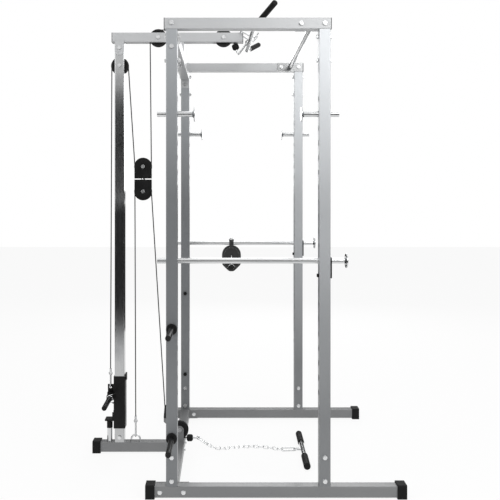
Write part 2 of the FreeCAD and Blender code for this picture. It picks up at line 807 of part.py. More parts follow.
def cable_fixed():
    """The cable where it lies over the tower, boom and low pulleys."""
    over_tower = bend(tower_pin, carriage_line[1], sweep_between(tower_pin, carriage_line[1], tower_line[0], True))
    over_rear = bend(boom_rear_pin, block_line[1], sweep_between(boom_rear_pin, block_line[1], boom_line[0], True))
    over_front = bend(boom_front_pin, boom_line[1], sweep_between(boom_front_pin, boom_line[1], lat_line[0], True))
    boom_part = joined([over_rear, run(boom_line), over_front])
    above, corner_bend, below = guide_corner()
    bottom = (low_pin[0], low_pin[1] - cable_ring)
    under = bend(low_pin, low_line[1], sweep_between(low_pin, low_line[1], bottom, False))
    outlet = run((bottom, (row_ball_x() - ball_length / 2.0, bottom[1])))
    return [over_tower, boom_part, joined([corner_bend, run(below), under, outlet])]


def cable_block_wraps():
    """The cable where it lies under the upper and over the lower pulley of the block."""
    upper = bend(block_upper_pin, tower_line[1],
                 sweep_between(block_upper_pin, tower_line[1], block_line[0], False))
    lower = bend(block_lower_pin, anchor_line[1],
                 sweep_between(block_lower_pin, anchor_line[1], guide_line[0], True))
    return [upper, lower]


# ---- floating block ----
def block_housing(axle_z, flat_direction):
    """One U-shaped housing of the floating block; its web lies towards flat_direction."""
    inside = pulley_half_width + block_cheek_gap
    outside = inside + block_plate
    flat = axle_z + flat_direction * block_flat
    low_z, high_z = sorted((axle_z, flat))
    pieces = []
    for name, side in sides:
        low, high = sorted((side * inside, side * outside))
        pieces.append(block(block_x - block_cheek_radius, block_x + block_cheek_radius, low, high, low_z, high_z))
        pieces.append(rod(point(block_x, low, axle_z), point(block_x, high, axle_z), block_cheek_radius))
    web = sorted((flat, flat - flat_direction * block_plate))
    pieces.append(block(block_x - block_cheek_radius, block_x + block_cheek_radius, -outside, outside, *web))
    cuts = [bolt_hole("y", 0.0, block_x, axle_z), bolt_hole("z", flat, block_x, 0.0)]
    return cut_from(joined(pieces), cuts)


def block_axles():
    """The two pulley axles, the bolt between the housings and the washer it clamps."""
    outside = pulley_half_width + block_cheek_gap + block_plate
    made = []
    for z in (block_upper_height, block_lower_height):
        made += bolt(point(block_x, -outside, z), point(0, 1, 0), 2 * outside)
    top = block_upper_height - block_flat
    bottom = block_lower_height + block_flat
    grip = top - bottom + 2 * block_plate
    made += bolt(point(block_x, 0, top + block_plate), point(0, 0, -1), grip,
                 block_bolt_across, block_bolt_flange, block_nut_height)
    washer = rod(point(block_x, 0, bottom), point(block_x, 0, top), bolt_flange_radius)
    made.append(cut_from(washer, [hole("z", bottom, block_x, 0, bolt_radius + nut_fit, tube)]))
    return made


# ---- carriage ----
def carriage_sleeve():
    """The black sleeve with its lugs, strike plate and pull tab."""
    top = sleeve_bottom + sleeve_length
    rear = post_x - sleeve_size / 2.0
    front = post_x + sleeve_size / 2.0
    tubes = square_tube("z", sleeve_bottom, top, post_x, 0.0, sleeve_size, sleeve_wall, corner + 0.5)
    pieces = [tubes]
    half = lug_thickness / 2.0
    for y in (-lug_spread, 0.0, lug_spread):
        reach = post_x - lug_hole_offset - 14.0 if y == 0.0 else post_x - peg_bar_offset - 20.0
        head = lug_hole_height + 16.0 if y == 0.0 else peg_bar_height + 20.0
        pieces.append(block(reach, rear + 1.0, y - half, y + half, peg_bar_height - 20.0, head))
    pieces.append(block(rear - strike_reach, rear + 1.0, -half_tube, half_tube,
                        strike_height, strike_height + strike_plate))
    for y in (-lug_spread, lug_spread):
        pieces.append(block(rear - 8.0, rear + 1.0, y - half, y + half,
                            strike_height + strike_plate - 1.0, strike_height + 44.0))
    pieces.append(block(front - 1.0, front + 6.0, -12.0, 12.0, top - 22.0, top + 14.0))
    cuts = [
        hole("y", 0.0, post_x - peg_bar_offset, peg_bar_height, peg_radius + peg_bar_fit, tube),
        hole("y", 0.0, post_x - lug_hole_offset, lug_hole_height, lug_hole_radius, tube / 4.0),
    ]
    return cut_from(joined(pieces), cuts)


def carriage_bushes():
    """The two plastic bushes between the sleeve and the guide post."""
    top = sleeve_bottom + sleeve_length
    outer = sleeve_size - 2 * sleeve_wall
    inner = tube + 2 * bush_fit
    made = []
    for low in (sleeve_bottom, top - bush_height):
        body = square_bar("z", low, low + bush_height, post_x, 0.0, outer, 1.0)
        bore = square_bar("z", low - 1, low + bush_height + 1, post_x, 0.0, inner, corner - 0.5)
        made.append(cut_from(body, [bore]))
    return made


def carriage_peg_bar():
    """The loading bar behind the sleeve, with its two stop flanges."""
    x = post_x - peg_bar_offset
    pieces = [rod(point(x, -peg_bar_half, peg_bar_height), point(x, peg_bar_half, peg_bar_height), peg_radius)]
    start = lug_spread + lug_thickness / 2.0 + 12.0
    for name, side in sides:
        ends = [point(x, side * at, peg_bar_height) for at in (start, start + carriage_flange)]
        pieces.append(rod(ends[0], ends[1], carriage_flange_radius))
    rims = joined(pieces)
    tips = [e for e in rims.Edges if e.Closed and abs(e.CenterOfMass.y) > peg_bar_half - 0.1]
    return rims.makeChamfer(1.5, tips)


def spring_collar(side):
    """A wire collar on the loading bar: its coil and two handles with grips."""
    x = post_x - peg_bar_offset
    inner = peg_radius + collar_fit
    ring = inner + collar_wire
    outer = ring + collar_wire
    turn = 2.0 * collar_wire
    profile = [(inner, 0.0)]
    for k in range(collar_turns):
        profile += [(ring, k * turn), (outer, (k + 0.3) * turn), (outer, (k + 0.7) * turn)]
    profile += [(ring, collar_turns * turn), (inner, collar_turns * turn)]
    corners = [point(x + radius, side * (collar_run + width), peg_bar_height) for radius, width in profile]
    face = Part.Face(Part.makePolygon(corners + corners[:1]))
    pieces = [face.revolve(point(x, 0, peg_bar_height), point(0, 1, 0), 360.0)]
    for rise, k in ((1.0, 0.5), (-1.0, collar_turns - 0.5)):
        lean = radians(collar_lean)
        centre = point(x, side * (collar_run + k * turn), peg_bar_height)
        start = centre + point(-sin(lean), 0, rise * cos(lean)) * ring
        direction = point(cos(lean), 0, rise * sin(lean))
        pieces.append(rod(start, start + direction * collar_handle, collar_wire - 0.2))
        pieces.append(rod(start + direction * (collar_handle - collar_grip),
                          start + direction * (collar_handle + 2.0), 1.8 * collar_wire))
    return joined(pieces)


def stop_post():
    """The plated stub on the tower base beam that the carriage lands on."""
    x = post_x - stop_offset
    post = rod(point(x, 0, base_top), point(x, 0, stop_height), stop_radius)
    return cut_from(post, [rod(point(x, 0, base_top - 1), point(x, 0, stop_height + 1), stop_radius - wall)])


def stop_rubber():
    """The rubber buffer pushed over the stop post."""
    x = post_x - stop_offset
    top = strike_height - stop_gap
    body = rod(point(x, 0, stop_height - stop_rubber_grip), point(x, 0, top), stop_rubber_radius)
    body = body.makeFillet(5.0, [e for e in body.Edges if e.Closed and e.CenterOfMass.z > top - 0.1])
    return cut_from(body, [rod(point(x, 0, base_top), point(x, 0, stop_height + grip_fit), stop_radius + grip_fit)])


def cable_guide():
    """The tapered rubber guide that the cable runs down through."""
    cone = Part.makeCone(guide_base_radius, guide_top_radius, guide_height, point(guide_x, 0, guide_bottom), up)
    dx = guide_line[0][0] - guide_line[1][0]
    dz = guide_line[0][1] - guide_line[1][1]
    share = 1.3 * guide_height / dz
    high = point(guide_x + share * dx, 0, guide_bottom + share * dz)
    low = point(guide_x - 0.1 * share * dx, 0, guide_bottom - 0.1 * share * dz)
    mouth = Part.makeCone(cable_radius + 4.5, cable_radius + guide_fit, guide_bend / 2.0,
                          point(guide_x, 0, guide_bottom - 0.1), up)
    return cut_from(cone, [rod(low, high, cable_radius + guide_fit), mouth])


# ---- links, eyes and hooks ----
def oval_link(first, last, across, width, wire):
    """A closed oval of wire whose outer ends are at first and last."""
    direction = (last - first).normalize()
    normal = direction.cross(across).normalize()
    across = normal.cross(direction)
    radius = width / 2.0 - wire
    middles = (first + direction * (width / 2.0), last - direction * (width / 2.0))
    pieces = []
    for middle, sign in ((middles[0], 1.0), (middles[1], -1.0)):
        start = middle + across * (radius * sign)
        section = Part.Face(Part.Wire(Part.makeCircle(wire, start, direction)))
        pieces.append(section.revolve(middle, normal, 180.0))
    for sign in (1.0, -1.0):
        pieces.append(rod(middles[0] + across * (radius * sign), middles[1] + across * (radius * sign), wire))
    return joined(pieces)


def cable_end(place, direction, normal):
    """The crimped ferrule and eye on a cable's end; the eye's centre is at place."""
    towards = point(direction[0], 0, direction[1]).normalize()
    middle = point(place[0], 0, place[1])
    ring = Part.makeTorus(eye_ring, eye_wire, middle, normal)
    start = middle + towards * (eye_ring - eye_wire)
    return joined([ring, rod(start, middle + towards * ferrule_length, ferrule_radius)])


def ball_stop(start, direction):
    """A rubber ball stop on a cable, from its flat face at start along direction."""
    towards = point(direction[0], 0, direction[1]).normalize()
    begin = point(start[0], 0, start[1])
    body = rod(begin, begin + towards * ball_length, ball_radius)
    body = body.makeFillet(ball_length / 3.0, [e for e in body.Edges if e.Closed])
    bore = rod(begin - towards, begin + towards * (ball_length + 1), cable_radius + guide_fit)
    return cut_from(body, [bore])


def chain(points):
    """Interlocked links along a smooth line, the place where they end and the last one's direction."""
    curve = Part.BSplineCurve()
    curve.interpolate([point(*place) for place in points])
    edge = curve.toShape()
    spots = edge.discretize(Distance=chain_pitch)[:chain_links + 1]
    length = chain_pitch + 4 * chain_wire + chain_play
    made = []
    for k, (first, last) in enumerate(zip(spots, spots[1:])):
        direction = (last - first).normalize()
        middle = (first + last) * 0.5
        level = up.cross(direction).normalize()
        across = level if k % 2 else direction.cross(level)
        half = direction * (length / 2.0)
        made.append(oval_link(middle - half, middle + half, across, chain_width, chain_wire))
    return made, spots[-1], direction


# ---- lat bar ----
def lat_end(side):
    """Bend and tip of one end of the lat bar before the bar is turned."""
    bend_place = point(lat_bar_x, side * lat_bar_half, lat_bar_z)
    tip = bend_place + point(lat_bar_end_forward, side * lat_bar_end_run, lat_bar_end_rise)
    return bend_place, tip


def turned_lat(shape):
    """A lat bar piece turned by the bar's small yaw."""
    moved = shape.copy()
    moved.rotate(point(lat_bar_x, 0, lat_bar_z), up, lat_bar_yaw)
    return moved


def round_corner(before, corner_place, after, radius):
    """Tangent points, middle and centre of the arc that rounds a corner of a path."""
    back = (before - corner_place).normalize()
    ahead = (after - corner_place).normalize()
    half = back.getAngle(ahead) / 2.0
    setback = radius * cos(half) / sin(half)
    bisector = (back + ahead).normalize()
    centre = corner_place + bisector * (radius / sin(half))
    return corner_place + back * setback, centre - bisector * radius, corner_place + ahead * setback


def lat_bar():
    """The bent pulldown bar with its centre eye."""
    bends = [lat_end(side) for name, side in sides]
    middle = point(lat_bar_x, 0, lat_bar_z)
    edges = []
    joints = []
    for bend_place, tip in bends:
        first, between, last = round_corner(middle, bend_place, tip, lat_bar_bend)
        joints.append((first, between, last, tip))
    near, far = joints
    edges.append(Part.LineSegment(near[3], near[2]).toShape())
    edges.append(Part.Arc(near[2], near[1], near[0]).toShape())
    edges.append(Part.LineSegment(near[0], far[0]).toShape())
    edges.append(Part.Arc(far[0], far[1], far[2]).toShape())
    edges.append(Part.LineSegment(far[2], far[3]).toShape())
    path = Part.Wire(edges)
    section = Part.Wire(Part.makeCircle(lat_bar_radius, near[3], near[2] - near[3]))
    bar = path.makePipeShell([section], True, True)
    eye_normal = point(0, 1, 0)
    eye = Part.makeTorus(lat_eye_radius, hook_wire, lat_eye(), eye_normal)
    return turned_lat(joined([bar, eye]))


def lat_eye():
    """Centre of the eye under the lat bar, before the bar is turned."""
    reach = lat_bar_radius + lat_eye_radius - 1.0
    return point(lat_bar_x - reach * 0.72, 0, lat_bar_z - reach * 0.69)


def turned_eye():
    """Centre of the lat bar's eye in place."""
    place = lat_eye()
    lean = radians(lat_bar_yaw)
    run = place.x - lat_bar_x
    return point(lat_bar_x + run * cos(lean), run * sin(lean), place.z)


def lat_grips():
    """The rubber grips over the ends of the lat bar."""
    made = []
    for name, side in sides:
        bend_place, tip = lat_end(side)
        towards = (tip - bend_place).normalize()
        body = rod(tip - towards * lat_grip_length, tip + towards * 4.0, lat_grip_radius)
        body = body.makeFillet(2.0, [e for e in body.Edges if e.Closed])
        made.append(turned_lat(cut_from(body, [rod(bend_place, tip, lat_bar_radius + grip_fit)])))
    return made


def bar_clip():
    """The wire spring clips at the boom's front end that park the lat bar."""
    ring = lat_bar_radius + clip_fit + clip_wire
    root_x = boom_front - 14.0
    root_z = boom_top + clip_wire
    pieces = [rod(point(root_x, -clip_spread, root_z), point(root_x, clip_spread, root_z), clip_wire)]
    for name, side in sides:
        y = side * clip_spread
        x = lat_bar_x - y * sin(radians(lat_bar_yaw))
        lead = radians(128.0)
        shoulder = point(x + ring * cos(lead), y, lat_bar_z + ring * sin(lead))
        section = Part.Face(Part.Wire(Part.makeCircle(clip_wire, shoulder, point(-sin(lead), 0, cos(lead)))))
        pieces.append(section.revolve(point(x, y, lat_bar_z), point(0, 1, 0), 128.0))
        pieces.append(rod(point(root_x, y, root_z), shoulder, clip_wire))
        pieces.append(Part.makeSphere(clip_wire, point(root_x, y, root_z)))
        pieces.append(Part.makeSphere(clip_wire, shoulder))
        foot = point(x + ring, y, lat_bar_z)
        pieces.append(Part.makeSphere(clip_wire, foot))
        pieces.append(rod(foot, point(x + ring + 24.0, y, lat_bar_z + 28.0), clip_wire))
    return joined(pieces)


def lat_fittings():
    """The cable end under the lat ball stop and the snap hook up to the bar's eye."""
    dx = lat_line[1][0] - lat_line[0][0]
    dz = lat_line[1][1] - lat_line[0][1]
    length = hypot(dx, dz)
    towards = (dx / length, dz / length)
    reach = ball_length / 2.0 + ferrule_length
    place = (ball_place[0] + towards[0] * reach, ball_place[1] + towards[1] * reach)
    end = cable_end(place, (-towards[0], -towards[1]), point(0, 1, 0))
    first = point(place[0], 0, place[1])
    last = turned_eye()
    direction = (last - first).normalize()
    low = first + direction * eye_reach()
    high = last - direction * (lat_eye_radius - 3 * hook_wire - hook_slack)
    hook = oval_link(low, high, point(0, 1, 0), hook_width, hook_wire)
    return [end, hook]


def lat_ball():
    """The ball stop that rests against the boom's front pulley."""
    dx = lat_line[1][0] - lat_line[0][0]
    dz = lat_line[1][1] - lat_line[0][1]
    length = hypot(dx, dz)
    half = ball_length / 2.0
    start = (ball_place[0] - half * dx / length, ball_place[1] - half * dz / length)
    return ball_stop(start, (dx, dz))


# ---- row bar and chain ----
def row_ball_x():
    """Centre of the ball stop at the low pulley."""
    return rear_x + cable_ring + row_ball_run


def row_height():
    """Height of the cable where it leaves the low pulley."""
    return low_pulley_z - cable_ring


def row_links():
    """Cable end, two snap hooks and the chain between them."""
    z = row_height()
    eye = point(row_ball_x() + ball_length / 2.0 + ferrule_length, 0, z)
    end = cable_end((eye.x, z), (-1.0, 0.0), point(0, 1, 0))
    sideways = point(0, 1, 0)
    slope = point(first_hook_run, 0, first_hook_height - z).normalize()
    first_start = eye + slope * eye_reach()
    first_stop = first_start + slope * hypot(first_hook_run, z - first_hook_height)
    first_hook = oval_link(first_start, first_stop, sideways, hook_width, hook_wire)
    seat = hook_wire + chain_wire + hook_slack
    start = first_stop - slope * (hook_wire + seat - chain_play / 2.0 - chain_wire)
    next_place = start + slope * chain_pitch
    floor = chain_width / 2.0 + chain_clear
    route = [
        (start.x, 0, start.z), (next_place.x, 0, next_place.z), (start.x + 62, 10, floor + 3.5),
        (start.x + 115, 28, floor), (start.x + 190, 45, floor), (start.x + 270, 46, floor),
        (start.x + 350, 22, floor), (start.x + 400, -3, floor + 1.5), (start.x + 440, -26, floor + 3.5),
        (start.x + 480, -50, floor + 5),
    ]
    links, stop, ahead = chain(route)
    wire_place = stop + ahead * (chain_play / 2.0 - hook_wire - hook_slack)
    eye = row_eye()
    towards = (eye - wire_place).normalize()
    tip = eye + towards * (hook_wire + lat_eye_radius - 2 * hook_wire - hook_slack)
    last_hook = oval_link(wire_place - towards * hook_wire, tip, up, narrow_hook_width, hook_wire)
    return [end, first_hook] + links + [last_hook]


def row_eye():
    """Centre of the row bar's eye."""
    return point(row_bar_x - row_eye_reach, row_bar_y, row_grip_radius)


def row_bar_ends():
    """The two ends of the row bar's axis."""
    half = row_bar_length / 2.0
    lean = radians(row_bar_yaw)
    shift = point(half * sin(lean), half * cos(lean), 0)
    middle = point(row_bar_x, row_bar_y, row_grip_radius)
    return middle - shift, middle + shift


def row_bar():
    """The straight row bar with its stem and eye."""
    near, far = row_bar_ends()
    eye = row_eye()
    stem = rod(point(row_bar_x, row_bar_y, row_grip_radius), eye + point(lat_eye_radius, 0, 0), 7.0)
    return joined([rod(near, far, row_bar_radius), stem, Part.makeTorus(lat_eye_radius, hook_wire, eye, up)])


def row_grips():
    """The two rubber grips of the row bar."""
    near, far = row_bar_ends()
    towards = (far - near).normalize()
    made = []
    for tip, direction in ((near, towards), (far, towards * -1.0)):
        body = rod(tip - direction * 4.0, tip + direction * row_grip_length, row_grip_radius)
        body = body.makeFillet(3.0, [e for e in body.Edges if e.Closed])
        made.append(cut_from(body, [rod(tip, tip + direction * 2 * row_grip_length, row_bar_radius + grip_fit)]))
    return made


# ---- bar hooks and safety bars ----
def disc_peg(axis_start, disc_at, y, z):
    """A round peg along X that ends in a thin coned disc."""
    inward = 1.0 if disc_at > axis_start else -1.0
    start = point(axis_start, y, z)
    pieces = [rod(start, point(disc_at, y, z), peg_radius)]
    face = disc_at - inward * peg_disc_thickness
    pieces.append(rod(point(face, y, z), point(disc_at, y, z), peg_disc_radius))
    cone = Part.makeCone(peg_radius, peg_radius + 7.0, 7.0, point(face - inward * 7.0, y, z), point(inward, 0, 0))
    pieces.append(cone)
    peg = joined(pieces)
    rims = [e for e in peg.Edges if e.Closed and e.Curve.TypeId == "Part::GeomCircle"
            and e.Curve.Radius > peg_disc_radius - 0.1]
    return peg.makeFillet(2.0, rims)


def bar_hook(x, side):
    """A bar hook: a disc peg through the upright at x, with its disc inside the cage."""
    inward = 1.0 if x == rear_x else -1.0
    return disc_peg(x - inward * hook_stub, x + inward * hook_reach, side * side_y, hook_z)


def safety_bar(side):
    """The long bar through both uprights, with its disc in front."""
    return disc_peg(rear_x - safety_rear_stub, front_x + safety_front_reach, side * side_y, safety_z)


def safety_lock(side):
    """The black plate on the safety bar, whose pin enters the hole below the bar."""
    y = side * side_y
    pin_z = safety_z - hole_pitch
    back = front_x + half_tube + lock_plate_gap
    half = lock_plate_width / 2.0
    plate = block(back, back + lock_plate_thickness, y - half, y + half,
                  pin_z - lock_plate_edge, safety_z + lock_plate_above)
    edges = [e for e in plate.Edges if abs(e.tangentAt(e.FirstParameter).x) > 0.9]
    plate = plate.makeFillet(10.0, edges)
    pin = rod(point(front_x - half_tube - lock_pin_overrun, y, pin_z), point(back, y, pin_z), lock_pin_radius)
    lock = joined([plate, pin])
    return cut_from(lock, [hole("x", back, y, safety_z, peg_radius + peg_bar_fit, tube)])


def eye_reach():
    """From the centre of a cable's eye to the outer end of the hook that pulls on it."""
    return eye_ring - eye_wire - 2 * hook_wire - hook_slack


def hanging_pad():
    """The black pad on the far safety bar, with its loop over the bar and the knob on its face."""
    x = rear_x + pad_run
    top = safety_z - peg_radius
    middle = top - pad_half_width
    low = middle - pad_side
    half = pad_thickness / 2.0
    near = side_y - half
    corners = [
        point(x - pad_half_width, near, middle), point(x - pad_half_width, near, low),
        point(x - pad_knob_radius, near, low - pad_point), point(x + pad_knob_radius, near, low - pad_point),
        point(x + pad_half_width, near, low), point(x + pad_half_width, near, middle),
    ]
    shield = Part.Face(Part.makePolygon(corners + corners[:1])).extrude(point(0, pad_thickness, 0))
    crown = rod(point(x, near, middle), point(x, near + pad_thickness, middle), pad_half_width)
    loop = rod(point(x - pad_loop_half_width, side_y, safety_z), point(x + pad_loop_half_width, side_y, safety_z),
               pad_loop)
    knob_z = low - pad_point + pad_knob_rise
    knob = rod(point(x, near + 1.0, knob_z), point(x, near - pad_knob_height, knob_z), pad_knob_radius)
    knob = knob.makeFillet(4.0, [e for e in knob.Edges if e.Closed and e.CenterOfMass.y < near])
    return cut_from(joined([shield, crown, loop, knob]), [hole("x", x, side_y, safety_z, peg_radius + peg_seat, tube)])


def cable_anchor():
    """The anchor ring on the tower base beam, its snap hook and the cable's end."""
    x = post_x + anchor_run
    crown = base_top + anchor_leg
    section = Part.Face(Part.Wire(Part.makeCircle(anchor_wire, point(x + anchor_ring, 0, crown), up)))
    ring = joined([
        section.revolve(point(x, 0, crown), point(0, -1, 0), 180.0),
        rod(point(x - anchor_ring, 0, base_top), point(x - anchor_ring, 0, crown), anchor_wire),
        rod(point(x + anchor_ring, 0, base_top), point(x + anchor_ring, 0, crown), anchor_wire),
    ])
    low = crown + anchor_ring - anchor_wire - hook_slack - 2 * hook_wire
    high = anchor_eye[1] - eye_reach()
    hook = oval_link(point(x, 0, low), point(x, 0, high), point(0, 1, 0), narrow_hook_width, hook_wire)
    return [ring, hook, cable_end(anchor_eye, (0.0, 1.0), point(0, 1, 0))]


def carriage_hook():
    """The link through the carriage's lug and the cable's end above it."""
    x = carriage_eye[0]
    low = lug_hole_height + lug_hole_radius - lug_slack - 2 * hook_wire
    high = carriage_eye[1] - eye_reach()
    hook = oval_link(point(x, 0, low), point(x, 0, high), point(0, 1, 0), narrow_hook_width, hook_wire)
    return [hook, cable_end(carriage_eye, (0.0, 1.0), point(0, 1, 0))]


def make_cage():
    """Write the nodes of the cage itself."""
    for name, side in sides:
        export("base_rail_" + name, [base_rail(side)])
        export("rear_upright_" + name, [upright(rear_x, side)])
        export("front_upright_" + name, [upright(front_x, side)])
        export("top_rail_" + name, [top_rail(side)])
        export("rear_bar_hook_" + name, [bar_hook(rear_x, side)])
        export("front_bar_hook_" + name, [bar_hook(front_x, side)])
        export("safety_bar_" + name, [safety_bar(side)])
        export("safety_lock_" + name, [safety_lock(side)])
    export("hanging_pad", [hanging_pad()])
    export("foot_caps", foot_caps())
    export("end_plugs", end_plugs())
    export("tube_joiners", tube_joiners())
    export("rear_top_beam", [rear_top_beam()])
    export("rear_base_beam", [rear_base_beam()])
    export("pull_up_bar", [pull_up_bar()])
    export("frame_bolts", frame_bolts())
    export("plate_posts", [solid for name, side in sides for z in post_heights for solid in weight_post(side, z)])


def make_tower():
    """Write the nodes of the lat tower and its carriage."""
    export("tower_base_beam", [tower_base_beam()])
    export("guide_post", [guide_post()])
    export("tower_boom", [tower_boom()])
    export("boom_saddle", [boom_saddle()])
    export("low_pulley_bracket", [low_pulley_bracket()])
    export("stop_post", [stop_post()])
    export("rubber_buffers", [stop_rubber(), cable_guide()])
    export("cable_anchor", cable_anchor())
    export("bar_clip", [bar_clip()])
    export("carriage_sleeve", [carriage_sleeve()])
    export("carriage_bushes", carriage_bushes())
    export("carriage_peg_bar", [carriage_peg_bar()])
    export("carriage_hook", carriage_hook())
    for name, side in sides:
        export("spring_collar_" + name, [spring_collar(side)])


def make_cable_system():
    """Write the pulleys, the floating block, the cables and what hangs on them."""
    export("tower_pulley", [pulley(*tower_pin)])
    export("boom_rear_pulley", [pulley(*boom_rear_pin)])
    export("boom_front_pulley", [pulley(*boom_front_pin)])
    export("block_upper_pulley", [pulley(*block_upper_pin)])
    export("block_lower_pulley", [pulley(*block_lower_pin)])
    export("low_pulley", [pulley(*low_pin)])
    export("block_housings", [block_housing(block_upper_height, -1.0), block_housing(block_lower_height, 1.0)])
    export("block_axles", block_axles())
    export("cable_block_wraps", cable_block_wraps())
    export("cable_fixed", cable_fixed())
    export("cable_carriage_run", [run(carriage_line)])
    export("cable_upper_runs", [run(tower_line), run(block_line)])
    export("cable_lower_runs", [run(anchor_line), run(guide_corner()[0])])
    export("cable_lat_run", [run(cut_short(lat_line, ball_length / 2.0))])
    export("lat_bar", [lat_bar()])
    export("lat_rubber", lat_grips() + [lat_ball()])
    export("lat_hook", lat_fittings())
    export("row_bar", [row_bar()])
    ball_start = (row_ball_x() - ball_length / 2.0, row_height())
    export("row_rubber", row_grips() + [ball_stop(ball_start, (1.0, 0.0))])
    export("row_links", row_links())


make_cage()
make_tower()
make_cable_system()
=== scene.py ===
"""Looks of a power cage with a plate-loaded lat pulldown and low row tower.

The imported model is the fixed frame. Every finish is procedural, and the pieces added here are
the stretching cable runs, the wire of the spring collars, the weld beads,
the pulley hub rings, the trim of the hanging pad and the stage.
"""

import json
import logging
import math
from dataclasses import dataclass, field
from enum import Enum

import bpy
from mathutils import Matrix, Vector

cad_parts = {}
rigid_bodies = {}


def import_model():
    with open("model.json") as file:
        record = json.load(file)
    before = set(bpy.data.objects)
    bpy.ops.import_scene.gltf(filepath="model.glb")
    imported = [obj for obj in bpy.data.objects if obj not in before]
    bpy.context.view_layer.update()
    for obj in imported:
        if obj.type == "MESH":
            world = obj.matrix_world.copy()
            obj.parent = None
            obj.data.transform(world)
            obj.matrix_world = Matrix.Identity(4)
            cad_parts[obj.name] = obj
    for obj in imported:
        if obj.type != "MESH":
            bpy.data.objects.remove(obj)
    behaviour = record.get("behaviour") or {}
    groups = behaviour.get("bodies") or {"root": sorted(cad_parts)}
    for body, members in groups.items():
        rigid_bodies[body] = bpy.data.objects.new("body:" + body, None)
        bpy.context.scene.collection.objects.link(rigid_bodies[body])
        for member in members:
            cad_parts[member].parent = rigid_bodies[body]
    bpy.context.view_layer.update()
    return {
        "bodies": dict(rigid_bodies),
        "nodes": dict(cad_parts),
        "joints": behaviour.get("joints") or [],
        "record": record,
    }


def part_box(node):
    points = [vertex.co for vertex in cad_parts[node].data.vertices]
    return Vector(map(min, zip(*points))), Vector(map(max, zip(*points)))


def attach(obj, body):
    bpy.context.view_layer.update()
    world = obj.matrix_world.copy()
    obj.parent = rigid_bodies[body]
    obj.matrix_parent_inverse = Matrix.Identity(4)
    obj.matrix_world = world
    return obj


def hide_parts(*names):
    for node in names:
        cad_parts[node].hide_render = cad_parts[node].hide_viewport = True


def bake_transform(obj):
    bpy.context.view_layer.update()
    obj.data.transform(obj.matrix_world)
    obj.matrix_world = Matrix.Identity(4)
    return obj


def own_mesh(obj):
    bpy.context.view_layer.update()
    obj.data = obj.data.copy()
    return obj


logging.basicConfig(level=logging.INFO, format="%(message)s")
LOG = logging.getLogger("power_cage")

Point = tuple[float, float, float]
Colour = tuple[float, float, float, float]
CABLE_RING = 0.04325
CABLE_RADIUS = 0.00275


class Role(Enum):
    """What a finish is for."""

    # The four coat roles are lit and shaded copies of one silver powder coat: painted shade on the rear
    # uprights and base, painted light on the front uprights.
    RAIL_COAT = "rail_coat"
    REAR_COAT_SHADED = "rear_coat_painted_shade"
    FRONT_COAT_LIT = "front_coat_painted_light"
    BASE_COAT_SHADED = "base_coat_painted_shade"
    CHROME = "chrome"
    # The guide post's chrome is a darker copy of the chrome: painted dark reflection.
    POST_CHROME_DARKENED = "post_chrome_painted_reflection"
    SATIN_CHROME = "satin_chrome"
    ZINC = "zinc"
    BLACK_PAINT = "black_paint"
    RUBBER = "rubber"
    PLASTIC = "black_plastic"
    CABLE = "cable_jacket"
    PAD = "pad_cover"


def grey(level: float, alpha: float = 1.0) -> Colour:
    """A neutral linear colour."""
    return (level, level, level, alpha)


